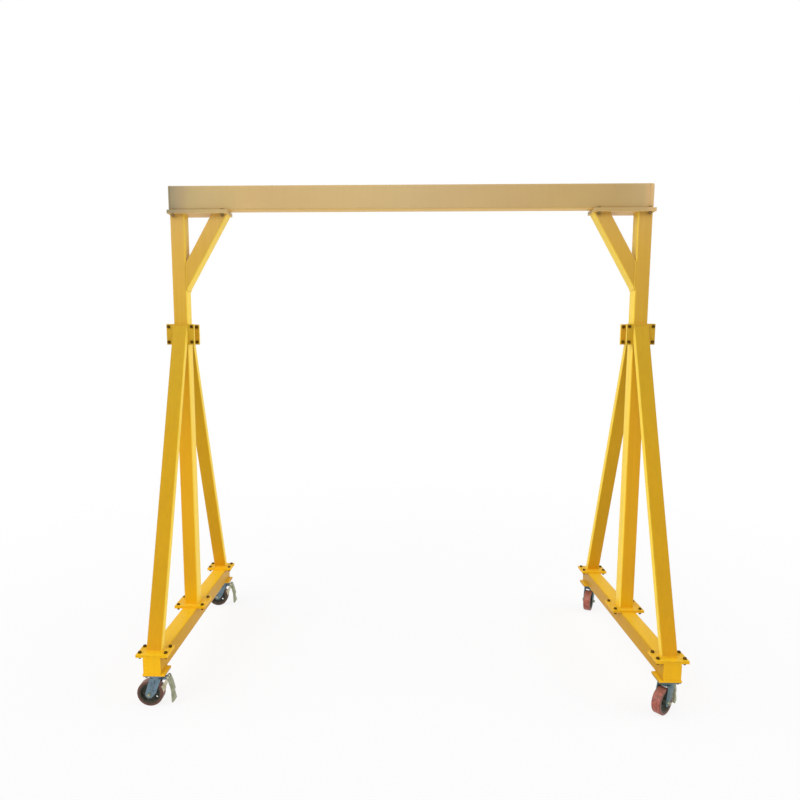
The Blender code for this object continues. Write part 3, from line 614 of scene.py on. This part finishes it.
# %% Copying a part of the frame
def copy_of(node):
    """The frame's part as a bmesh of whole flat faces."""
    bm = bmesh.new()
    bm.from_mesh(frame["nodes"][node].data)
    bmesh.ops.remove_doubles(bm, verts=bm.verts[:], dist=2e-5)
    bmesh.ops.dissolve_limit(bm, angle_limit=math.radians(1.0), verts=bm.verts[:], edges=bm.edges[:])
    return bm


def cut_back(bm, chosen, width, steps, kind="EDGES"):
    """Round or chamfer the chosen edges or corners."""
    bmesh.ops.bevel(bm, geom=chosen, offset=width, segments=steps, profile=0.5, affect=kind,
                    material=-1, clamp_overlap=True)
    return bm


def bevelled(bm, width, steps, sharpest, softest, shortest):
    """Bevel the outside edges whose bend, in degrees, and length lie in the given range."""
    chosen = []
    for edge in bm.edges:
        if edge.is_manifold and edge.is_convex and edge.calc_length() > shortest:
            if softest < math.degrees(edge.calc_face_angle()) < sharpest:
                chosen.append(edge)
    return cut_back(bm, chosen, width, steps) if chosen else bm


def try_out(what, bm):
    """Print how many faces a trial shape has, and let it go."""
    print(what, "has", len(bm.faces), "faces")
    bm.free()


try_out("the main beam", copy_of("main_beam"))

# %% [markdown]
# A finished piece goes into the scene the same way each time: its mesh gets a finish and smooth
# shading that stops at real corners, it rides on a body of the frame, and where it stands for a
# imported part, that part is hidden.


def put(name, bm, finish, body="frame", stands_for=None, corner=38):
    mesh = bpy.data.meshes.new(name)
    bm.to_mesh(mesh)
    bm.free()
    mesh.materials.append(finish)
    mesh.shade_smooth()
    mesh.set_sharp_from_angle(angle=math.radians(corner))
    thing = into_scene(name, mesh)
    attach(thing, body)
    if stands_for:
        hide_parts(stands_for)
    return thing


def body_of(node):
    return frame["nodes"][node]["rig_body"]


def middle_of(node):
    low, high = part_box(node)
    return (low + high) / 2


# %% [markdown]
# ## Plates, tubes and base beams
# The rolled corners of the tubes come as a few flats. Bevelling those soft edges rounds them
# further, and a second, narrower bevel breaks the cut edges of the plates.

# %% Dress the steelwork
SIDES = ("left", "right")
ENDS = (("front", -1), ("rear", 1))
beam_parts = ["main_beam", "beam_cap_left", "beam_cap_right"]
for side in SIDES:
    beam_parts += [f"beam_seat_{side}", f"column_head_plate_{side}"]
tower_parts = []
for side in SIDES:
    tower_parts += [f"column_{side}", f"column_foot_plate_{side}", f"brace_{side}", f"base_beam_{side}"]
    tower_parts += [f"{part}_{end}_{side}" for part in ("collar_plate", "leg") for end, sign in ENDS]

for node in beam_parts + tower_parts:
    shape = copy_of(node)
    shape = bevelled(shape, 0.0014, steps=2, sharpest=48, softest=12, shortest=0.060)
    shape = bevelled(shape, 0.0009, steps=2, sharpest=120, softest=60, shortest=0.050)
    finish = beam_paint_and_light if node in beam_parts else leg_paint_and_light if node.startswith("leg_") else tower_paint_and_light
    put(f"{node}_dressed", shape, finish, stands_for=node)
print("steelwork", len(beam_parts) + len(tower_parts))

# %% [markdown]
# ## Lathe work
# Washers, wheels and pins are all turned shapes. A few corner points of the outline, given as
# radius and height, are spun about Z, as a lathe would turn them. An outline that starts and
# ends on the axis makes a solid, and one that stays off it makes a ring.


# %% Turned shapes
def turned_shape(outline, steps):
    bm = bmesh.new()
    points = [bm.verts.new((radius, 0, height)) for radius, height in outline]
    pairs = list(zip(points, points[1:]))
    if outline[0][0] > 0:
        pairs.append((points[-1], points[0]))
    edges = [bm.edges.new(pair) for pair in pairs]
    bmesh.ops.spin(bm, geom=points + edges, cent=(0, 0, 0), axis=(0, 0, 1), angle=2 * math.pi,
                   steps=steps, use_merge=True, use_duplicate=False)
    bmesh.ops.remove_doubles(bm, verts=bm.verts[:], dist=1e-6)
    bmesh.ops.recalc_face_normals(bm, faces=bm.faces[:])
    return bm


try_out("a turned ring", turned_shape([(0.003, 0), (0.006, 0), (0.006, 0.001), (0.003, 0.001)], 24))

# %% [markdown]
# Nuts and bolt heads are six-sided blocks with their corners turned off. Cutting only the corner
# points, and not the long edges, gives the small facets that a lathe leaves there.


# %% Hexagons
def hexagon_block(across_flats, low, high, cut=0.0020):
    """A hexagon with flats towards +Y and -Y and the corners of both ends turned off."""
    bm = bmesh.new()
    radius = across_flats / math.sqrt(3)
    bmesh.ops.create_cone(bm, segments=6, cap_ends=True, radius1=radius, radius2=radius, depth=high - low)
    bmesh.ops.rotate(bm, verts=bm.verts[:], matrix=Matrix.Rotation(math.pi / 2, 3, "Z"))
    cut_back(bm, bm.verts[:], cut, 1, "VERTICES")
    bmesh.ops.translate(bm, verts=bm.verts[:], vec=(0, 0, (low + high) / 2))
    return bm


try_out("a bolt head", hexagon_block(0.018, 0.0, 0.0074))

# %% [markdown]
# A bolt with its nut and washers is several shells in one piece. One helper gathers shells, and
# another carries them to their place.


# %% Gathering shells
def joined(parts):
    """Gather separate shells into one bmesh."""
    whole = bmesh.new()
    for part in parts:
        scrap = bpy.data.meshes.new("scrap")
        part.to_mesh(scrap)
        part.free()
        whole.from_mesh(scrap)
        bpy.data.meshes.remove(scrap)
    return whole


def placed(bm, matrix):
    bmesh.ops.transform(bm, matrix=matrix, verts=bm.verts[:])
    return bm


# %% [markdown]
# ## Bolts
# Every joint of the frame is held by M12 hexagon bolts with a washer under the head and another
# under the nut, and a little thread showing past it. The thread is turned as a row of ridges. One
# function makes the bolt for a given stack of plates, and each joint's bolts become one piece.


# %% One bolt
def ring(inner, outer, low, high, steps=24):
    return turned_shape([(inner, low), (outer, low), (outer, high), (inner, high)], steps)


def thread_end(radius, low, high, pitch):
    """A shank from the axis out: a chamfered end, then ridges up to the given height."""
    outline = [(0, low), (radius * 0.72, low), (radius * 0.97, low + pitch * 0.6)]
    level = low + pitch * 0.6
    while level + pitch < low + 0.012:
        outline += [(radius * 0.84, level + pitch / 2), (radius, level + pitch)]
        level += pitch
    return turned_shape(outline + [(radius, high), (0, high)], 16)


def bolt(low, high, diameter=0.012, flats=0.018, washer=0.0205, past=0.006, washer_thickness=0.0018):
    """A bolt through plates that lie between two heights, with its head on top."""
    radius = diameter / 2
    nut_face = low - washer_thickness
    nut_end = nut_face - 0.80 * diameter
    head_face = high + washer_thickness
    parts = [thread_end(radius, nut_end - past, head_face + 0.001, 0.0018),
             hexagon_block(flats, head_face, head_face + 0.62 * diameter),
             hexagon_block(flats, nut_end, nut_face)]
    for face in (nut_face, high):
        parts.append(ring(radius * 1.08, washer / 2, face, face + washer_thickness))
    return joined(parts)


def row_of_bolts(name, spots, low, high, facing=Matrix.Identity(4), finish=bolt_steel):
    """Bolts at (x, y) spots of a plane; facing turns that plane's up into the bolts' direction."""
    bolts = [placed(bolt(low, high), facing @ Matrix.Translation((x, y, 0))) for x, y in spots]
    put(name, joined(bolts), finish, corner=30)
    print(name, len(spots))


def four_spots(middle, offsets):
    return [(middle[0] + a * offsets[0], middle[1] + b * offsets[1]) for a in (-1, 1) for b in (-1, 1)]


try_out("a bolt", bolt(0.0, 0.016))

# %% [markdown]
# The beam's seats are bolted to the columns' head plates, and each leg and column stands bolted on
# a pad of the base beam. The heights of the plates are read from the frame, and only the spacing
# of the holes, which the frame's boxes can't tell, is written here.

# %% Bolts of the beam seats, feet and columns
FIT_GAP = 0.0003        # between plates that rest on each other
LEG_FOOT_Y = 0.690      # middle of a leg's foot, from the middle of the base beam
SEAT_INSET, SEAT_BOLT_Y = 0.0325, 0.056
LEG_BOLTS, COLUMN_BOLTS, COLLAR_BOLTS = (0.074, 0.0375), (0.080, 0.065), (0.0735, 0.048)

for side in SIDES:
    low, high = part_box(f"column_head_plate_{side}")
    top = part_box(f"beam_seat_{side}")[1].z
    ends = (low.x + SEAT_INSET, high.x - SEAT_INSET)
    spots = [(x, y) for x in ends for y in (-SEAT_BOLT_Y, SEAT_BOLT_Y)]
    row_of_bolts(f"seat_bolts_{side}", spots, low.z, top, finish=high_bolt_steel)
    low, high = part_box(f"column_foot_plate_{side}")
    middle = middle_of(f"column_foot_plate_{side}")
    pad_bottom = low.z - FIT_GAP - (high.z - low.z)
    row_of_bolts(f"column_foot_bolts_{side}", four_spots(middle, COLUMN_BOLTS), pad_bottom, high.z)
    for end, sign in ENDS:
        spots = four_spots((middle.x, sign * LEG_FOOT_Y), LEG_BOLTS)
        row_of_bolts(f"leg_foot_bolts_{end}_{side}", spots, pad_bottom, high.z)

# %% [markdown]
# The collar bolts lie along Y, through the column's collar plate and the leg's head plate. Their
# heads face outwards, so the plane they are set out on is tipped a quarter turn about X.

# %% Collar bolts
for side in SIDES:
    for end, sign in ENDS:
        low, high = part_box(f"collar_plate_{end}_{side}")
        inner = min(abs(low.y), abs(high.y))
        outer = inner + 2 * (high.y - low.y) + FIT_GAP
        tip = Matrix.Rotation(-sign * math.pi / 2, 4, "X")
        middle = middle_of(f"collar_plate_{end}_{side}")
        spots = four_spots((middle.x, -sign * middle.z), COLLAR_BOLTS)
        row_of_bolts(f"collar_bolts_{end}_{side}", spots, inner, outer, tip)

# %% [markdown]
# ## Weld beads
# Each tube is welded all round to its plate. The bead follows the joint, so the joint is found by
# slicing the tube just beside the plate and walking round the longest outline of the cut. A
# curve with a round section follows that outline, and its radius swells and shrinks every
# few millimetres, as the ripples of a hand-made weld do.


# %% Finding a joint
def outline_at(node, point, normal):
    """The longest closed outline where a plane cuts a part, as a list of points."""
    bm = copy_of(node)
    everything = bm.verts[:] + bm.edges[:] + bm.faces[:]
    cut = bmesh.ops.bisect_plane(bm, geom=everything, plane_co=point, plane_no=normal,
                                 clear_inner=True, clear_outer=True)
    edges = {item for item in cut["geom_cut"] if isinstance(item, bmesh.types.BMEdge)}
    best, best_length = [], 0.0
    while edges:
        edge = edges.pop()
        start, here = edge.verts
        walk, length = [start.co.copy()], edge.calc_length()
        while here is not start:
            walk.append(here.co.copy())
            onward = [e for e in here.link_edges if e in edges]
            if not onward:
                break
            edges.discard(onward[0])
            length += onward[0].calc_length()
            here = onward[0].other_vert(here)
        if length > best_length:
            best, best_length = walk, length
    bm.free()
    return best


corners = len(outline_at("column_left", (0, 0, 1.0), Vector((0, 0, 1))))
print("the column's outline has", corners, "corners")

# %% [markdown]
# The bead is a curve with a round section. Points are set every few millimetres along the path,
# and each carries its own radius, so the ripples cost no modelling.


# %% A rippled bead
def evenly(points, closed, spacing):
    """The same path with a point every few millimetres."""
    onward = points[1:] + points[:1] if closed else points[1:]
    path = []
    for a, b in zip(points, onward):
        steps = max(1, round((b - a).length / spacing))
        path += [a.lerp(b, i / steps) for i in range(steps)]
    return path if closed else path + [points[-1]]


def bead(points, radius, closed=True, spacing=0.0028):
    """A rippled bead along a path, as a bmesh."""
    path = evenly(points, closed, spacing)
    curve = bpy.data.curves.new("bead", "CURVE")
    curve.dimensions = "3D"
    curve.bevel_depth = 1.0
    curve.bevel_resolution = 1
    curve.use_fill_caps = True
    line = curve.splines.new("POLY")
    line.points.add(len(path) - 1)
    line.use_cyclic_u = closed
    for i, (point, spot) in enumerate(zip(line.points, path)):
        point.co = (*spot, 1.0)
        point.radius = radius * (1.0 + 0.10 * math.cos(i * 2.1) + 0.05 * math.sin(i * 0.37))
    thing = into_scene("bead", curve)
    bpy.context.view_layer.update()
    mesh = bpy.data.meshes.new_from_object(thing)
    bm = bmesh.new()
    bm.from_mesh(mesh)
    bpy.data.objects.remove(thing)
    bpy.data.curves.remove(curve)
    bpy.data.meshes.remove(mesh)
    bmesh.ops.recalc_face_normals(bm, faces=bm.faces[:])
    return bm


try_out("a bead of 100 mm", bead([Vector((0, 0, 0)), Vector((0.1, 0, 0))], 0.003, closed=False))

# %% [markdown]
# On each tower the column is welded to its head plate and its foot plate, the brace to the head
# plate and to the column's side, and each leg to the plates at both its ends. The collar plates
# are welded down both edges of the column.

# %% Welds of the towers
BESIDE = 0.0015         # how far from the plate the tube is sliced
COLUMN_HALF = 0.0450
COLLAR_END = 0.006      # how far short of the collar plate's ends its welds stop

for side in SIDES:
    out_x = -1 if side == "left" else 1
    low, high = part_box(f"column_{side}")
    inner_face = low.x if out_x > 0 else high.x
    up, sideways = Vector((0, 0, 1)), Vector((1, 0, 0))
    beads = [bead(outline_at(f"column_{side}", (0, 0, high.z - BESIDE), up), 0.0030),
             bead(outline_at(f"column_{side}", (0, 0, low.z + BESIDE), up), 0.0034),
             bead(outline_at(f"brace_{side}", (0, 0, high.z - BESIDE), up), 0.0030),
             bead(outline_at(f"brace_{side}", (inner_face - out_x * BESIDE, 0, 0), sideways), 0.0030)]
    for end, sign in ENDS:
        leg = f"leg_{end}_{side}"
        foot_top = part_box(f"column_foot_plate_{side}")[1].z
        low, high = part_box(f"collar_plate_{end}_{side}")
        head_face = sign * (max(abs(low.y), abs(high.y)) + FIT_GAP + (high.y - low.y))
        beads.append(bead(outline_at(leg, (0, 0, foot_top + BESIDE), up), 0.0032))
        beads.append(bead(outline_at(leg, (0, head_face + sign * BESIDE, 0), Vector((0, 1, 0))), 0.0028))
        for x in (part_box(f"column_{side}")[0].x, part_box(f"column_{side}")[1].x):
            run = [Vector((x, sign * COLUMN_HALF, z)) for z in (low.z + COLLAR_END, high.z - COLLAR_END)]
            beads.append(bead(run, 0.0026, closed=False))
    put(f"tower_welds_{side}", joined(beads), tower_paint_and_light, corner=80)
    print("welds", side, len(beads))

# %% [markdown]
# The column's pad is welded across the base tube at both its ends, and each leg's pad at the end
# that faces the column. The seats that carry the casters are welded along the tube's inner side.

# %% Welds of the base beams
TUBE_HALF, TUBE_ROUND = 0.050, 0.009
PAD_THICKNESS = 0.008
LEG_PAD_END, COLUMN_PAD_END = 0.628, 0.085      # from the middle of the base beam
CASTER_SEAT = (0.652, 0.745)

for side in SIDES:
    middle = middle_of(f"column_{side}").x
    inward = 1 if side == "left" else -1
    tube_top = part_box(f"column_foot_plate_{side}")[0].z - FIT_GAP - PAD_THICKNESS
    seat_top = tube_top - 2 * TUBE_HALF
    half_run = TUBE_HALF - TUBE_ROUND
    beads = []
    for sign in (-1, 1):
        for pad_end in (LEG_PAD_END - 0.001, COLUMN_PAD_END + 0.001):
            run = [Vector((middle + a * half_run, sign * pad_end, tube_top + 0.001)) for a in (-1, 1)]
            beads.append(bead(run, 0.0030, closed=False))
        inner = middle + inward * (TUBE_HALF + 0.0005)
        run = [Vector((inner, sign * y, seat_top + 0.0030)) for y in CASTER_SEAT]
        beads.append(bead(run, 0.0034, closed=False))
    put(f"base_welds_{side}", joined(beads), tower_paint_and_light, corner=80)
    print("base welds", side, len(beads))

# %% [markdown]
# The beam's bottom corners are rounded, so the weld to its seat plate fills the flare between
# them. It is laid in stitches, short runs with gaps, to keep the long tube from bowing. A finer
# bead runs round each end cap.

# %% Welds of the beam
beads = []
for side in SIDES:
    low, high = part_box(f"beam_seat_{side}")
    inside, outside = sorted((low.x, high.x), key=abs)
    reach = outside - inside
    for y in (-0.0385, 0.0385):
        for start, stop in ((0.03, 0.30), (0.38, 0.62), (0.70, 0.96)):
            run = [Vector((inside + reach * part, y, high.z + 0.0022)) for part in (start, stop)]
            beads.append(bead(run, 0.0030, closed=False))
low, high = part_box("main_beam")
for x, inward in ((low.x, 1), (high.x, -1)):
    beads.append(bead(outline_at("main_beam", (x + inward * 0.001, 0, 0), Vector((1, 0, 0))), 0.0013))
put("beam_welds", joined(beads), beam_paint_and_light, corner=80)
print("beam welds", len(beads))

# %% [markdown]
# ## Casters
# Each caster stands in its own direction. Its pieces are shaped about a local frame: the swivel
# axis is Z, the brake is at +X, and the wheel trails behind at -X. That frame is found from
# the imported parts, from the kingpin's and the wheel's centres.


# %% The frame of one caster
def caster_frame(corner):
    pin, hub = middle_of(f"caster_{corner}_kingpin"), middle_of(f"caster_{corner}_wheel_tread")
    ahead = Vector((pin.x - hub.x, pin.y - hub.y, 0.0))
    trail = ahead.length
    ahead.normalize()
    up = Vector((0, 0, 1))
    turn = Matrix((ahead, up.cross(ahead), up)).transposed().to_4x4()
    local = Matrix.Translation((pin.x, pin.y, 0)) @ turn
    return local, local @ Matrix.Translation((-trail, 0, hub.z)) @ Matrix.Rotation(-math.pi / 2, 4, "X")


CORNERS = ("front_left", "rear_left", "front_right", "rear_right")
for corner in CORNERS:
    local, hub = caster_frame(corner)
    print(corner, "points", round(math.degrees(math.atan2(local[1][0], local[0][0])), 1), "degrees")


# %% [markdown]
# ### Wheels
# The wheel centre is a casting: a hub, a thin web with three holes, and a rim that holds the
# tread. The outline is turned, then every turned corner is given a small casting radius, and
# the holes are drilled last, with a Boolean modifier.


# %% Drilling
def drilled(bm, drills):
    """Cut the drills out of a solid with a Boolean modifier."""
    things = []
    for part in [bm, joined(drills)]:
        mesh = bpy.data.meshes.new("drilled")
        part.to_mesh(mesh)
        part.free()
        things.append(into_scene("drilled", mesh))
    step = things[0].modifiers.new("drill", "BOOLEAN")
    step.operation = "DIFFERENCE"
    step.solver = "EXACT"
    step.object = things[1]
    bpy.context.view_layer.update()
    mesh = bpy.data.meshes.new_from_object(things[0].evaluated_get(bpy.context.evaluated_depsgraph_get()))
    result = bmesh.new()
    result.from_mesh(mesh)
    for thing in things:
        bpy.data.objects.remove(thing)
    bpy.data.meshes.remove(mesh)
    return result


disc = turned_shape([(0, 0), (0.02, 0), (0.02, 0.01), (0, 0.01)], 24)
hole = turned_shape([(0, -0.01), (0.005, -0.01), (0.005, 0.02), (0, 0.02)], 24)
try_out("a drilled disc", drilled(disc, [hole]))

# %% [markdown]
# Half of the wheel centre's outline is written down, and the other half is its mirror image.


# %% Wheel centre
BORE_RADIUS, HUB_RADIUS, HUB_END, WEB_HALF = 0.0064, 0.022, 0.0287, 0.005
RIM_INNER, RIM_OUTER, RIM_END = 0.0517, 0.0597, 0.024
WEB_HOLES = (43, 163, 283)      # degrees round the wheel
HOLE_RADIUS, HOLE_CIRCLE = 0.007, 0.043


def wheel_centre():
    half = [(BORE_RADIUS, HUB_END), (HUB_RADIUS - 0.002, HUB_END), (HUB_RADIUS, WEB_HALF),
            (RIM_INNER, WEB_HALF), (RIM_INNER + 0.001, RIM_END), (RIM_OUTER, RIM_END)]
    bm = turned_shape(half + [(radius, -height) for radius, height in reversed(half)], 72)
    corners = [edge for edge in bm.edges if math.degrees(edge.calc_face_angle()) > 40]
    cut_back(bm, corners, 0.0018, 2)
    drills = []
    for degrees in WEB_HOLES:
        drill = turned_shape([(0, -0.02), (HOLE_RADIUS, -0.02), (HOLE_RADIUS, 0.02), (0, 0.02)], 24)
        spin = Matrix.Rotation(math.radians(degrees), 4, "Z")
        drills.append(placed(drill, spin @ Matrix.Translation((HOLE_CIRCLE, 0, 0))))
    return drilled(bm, drills)


print("the rim is", round(2000 * RIM_OUTER, 1), "mm across")

# %% [markdown]
# The tread is a ring with rounded shoulders. Its side walls get the number that the tread's finish reads
# to paint shade on them.


# %% Tread shape
WHEEL_RADIUS, TREAD_INNER, TREAD_HALF = 0.075, 0.060, 0.025
WALL_DEPTH = 0.0030     # how far in from the tread's sides a point still counts as side wall


def tread():
    bm = turned_shape([(TREAD_INNER, -TREAD_HALF), (WHEEL_RADIUS, -TREAD_HALF),
                       (WHEEL_RADIUS, TREAD_HALF), (TREAD_INNER, TREAD_HALF)], 96)
    shoulders = [edge for edge in bm.edges
                 if math.degrees(edge.calc_face_angle()) > 40 and edge.verts[0].co.xy.length > 0.07]
    cut_back(bm, shoulders, 0.005, 4)
    # The side walls are marked so that the finish can paint shade on them.
    wall = bm.verts.layers.float.new("side_wall")
    for vert in bm.verts:
        vert[wall] = 1.0 if abs(vert.co.z) > TREAD_HALF - WALL_DEPTH else 0.0
    return bm


print("the tread is", round(2000 * WHEEL_RADIUS), "mm across and", round(2000 * TREAD_HALF), "mm wide")

# %% [markdown]
# A grease nipple stands on the hub between two holes. It is a small turned pin with a waist
# and a rounded tip, where the grease gun snaps on. It turns with the wheel, so it rides on it.


# %% Wheels
NIPPLE_TURN = math.radians(103)
NIPPLE_ALONG, NIPPLE_FOOT = 0.015, 0.0205       # along the axle, and out from its middle


def grease_nipple():
    tip = [(0, 0.0), (0.0030, 0.0), (0.0030, 0.0030), (0.0020, 0.0040), (0.0017, 0.0056),
           (0.0026, 0.0070), (0.0024, 0.0084), (0, 0.0090)]
    return turned_shape(tip, 20)


for corner in CORNERS:
    local, hub = caster_frame(corner)
    name = f"caster_{corner}"
    wheel = body_of(f"{name}_wheel_core")
    put(f"{name}_wheel_centre", placed(wheel_centre(), hub), casting, wheel, f"{name}_wheel_core", 34)
    put(f"{name}_tread", placed(tread(), hub), tread_rubber_and_shade, wheel, f"{name}_wheel_tread", 50)
    radial = Matrix.Rotation(NIPPLE_TURN, 4, "Z") @ Matrix.Rotation(math.pi / 2, 4, "Y")
    stand = Matrix.Translation((0, 0, NIPPLE_ALONG)) @ radial @ Matrix.Translation((0, 0, NIPPLE_FOOT))
    put(f"{name}_grease_nipple", placed(grease_nipple(), hub @ stand), bright_zinc, wheel)
print("wheels", len(CORNERS))

# %% [markdown]
# ### Forks, plates and brakes
# The pedal is folded from strip, so its bends are rolled, not creased. The creases all run
# across the pedal, along the brake pin's direction, which is how they are found.


# %% Rolled bends
def rolled_bends(bm, pin_direction):
    creases = []
    for edge in bm.edges:
        along = (edge.verts[1].co - edge.verts[0].co).normalized()
        if edge.is_manifold and edge.calc_length() > 0.020 and abs(along.dot(pin_direction)) > 0.999:
            if 9 < math.degrees(edge.calc_face_angle()) < 75:
                creases.append(edge)
    print("rolled bends", len(creases))
    return cut_back(bm, creases, 0.0042, 4)


# %% [markdown]
# The other parts are pressings and pins, and keep the frame's shape with broken edges. The axle
# is a hexagon bolt with its nut, made like the frame's bolts but lying across the fork, and
# four smaller bolts hold the top plate up to the base beam's seat.

# %% Forks, plates, pins and brakes
EDGES = (("top_plate", blue_zinc, 0.0010), ("kingpin", bright_zinc, 0.0006),
         ("fork", blue_zinc, 0.0012), ("brake_pin", bright_zinc, 0.0006),
         ("brake_shoe", bright_zinc, 0.0008), ("brake_pedal", brake_zinc, 0.0006))
FORK_OUTER, PLATE_BOTTOM = 0.0353, 0.1887
PLATE_BOLTS = (0.046, 0.038)
WASHER, BOLT_HEAD = 0.0018, 0.0056      # heights of a plate bolt's washer and head


def plate_bolt():
    """A bolt that comes up through the top plate: its head, washer and a stub of shank."""
    face = PLATE_BOTTOM - WASHER
    shank = [(0, PLATE_BOTTOM - 0.004), (0.004, PLATE_BOTTOM - 0.004),
             (0.004, PLATE_BOTTOM + 0.005), (0, PLATE_BOTTOM + 0.005)]
    return joined([hexagon_block(0.013, face - BOLT_HEAD, face, cut=0.0014),
                   ring(0.0042, 0.0078, face, PLATE_BOTTOM), turned_shape(shank, 12)])


for corner in CORNERS:
    local, hub = caster_frame(corner)
    for part, finish, width in EDGES:
        node = f"caster_{corner}_{part}"
        shape = copy_of(node)
        if part == "brake_pedal":
            shape = rolled_bends(shape, local.to_3x3() @ Vector((0, 1, 0)))
        shape = bevelled(shape, width, steps=2, sharpest=130, softest=50, shortest=0.004)
        put(f"{node}_dressed", shape, finish, body_of(node), node)
    axle = f"caster_{corner}_axle"
    across = bolt(-FORK_OUTER, FORK_OUTER, past=0.004, washer=0.020, washer_thickness=0.0006)
    put(f"{axle}_dressed", placed(across, hub), brake_zinc, body_of(axle), axle, 30)
    seat = Matrix.Translation((local.translation.x, local.translation.y, 0))
    spots = four_spots((0, 0), PLATE_BOLTS)
    bolts = [placed(plate_bolt(), seat @ Matrix.Translation((x, y, 0))) for x, y in spots]
    put(f"caster_{corner}_plate_bolts", joined(bolts), bolt_steel, corner=30)
print("casters dressed", len(CORNERS))
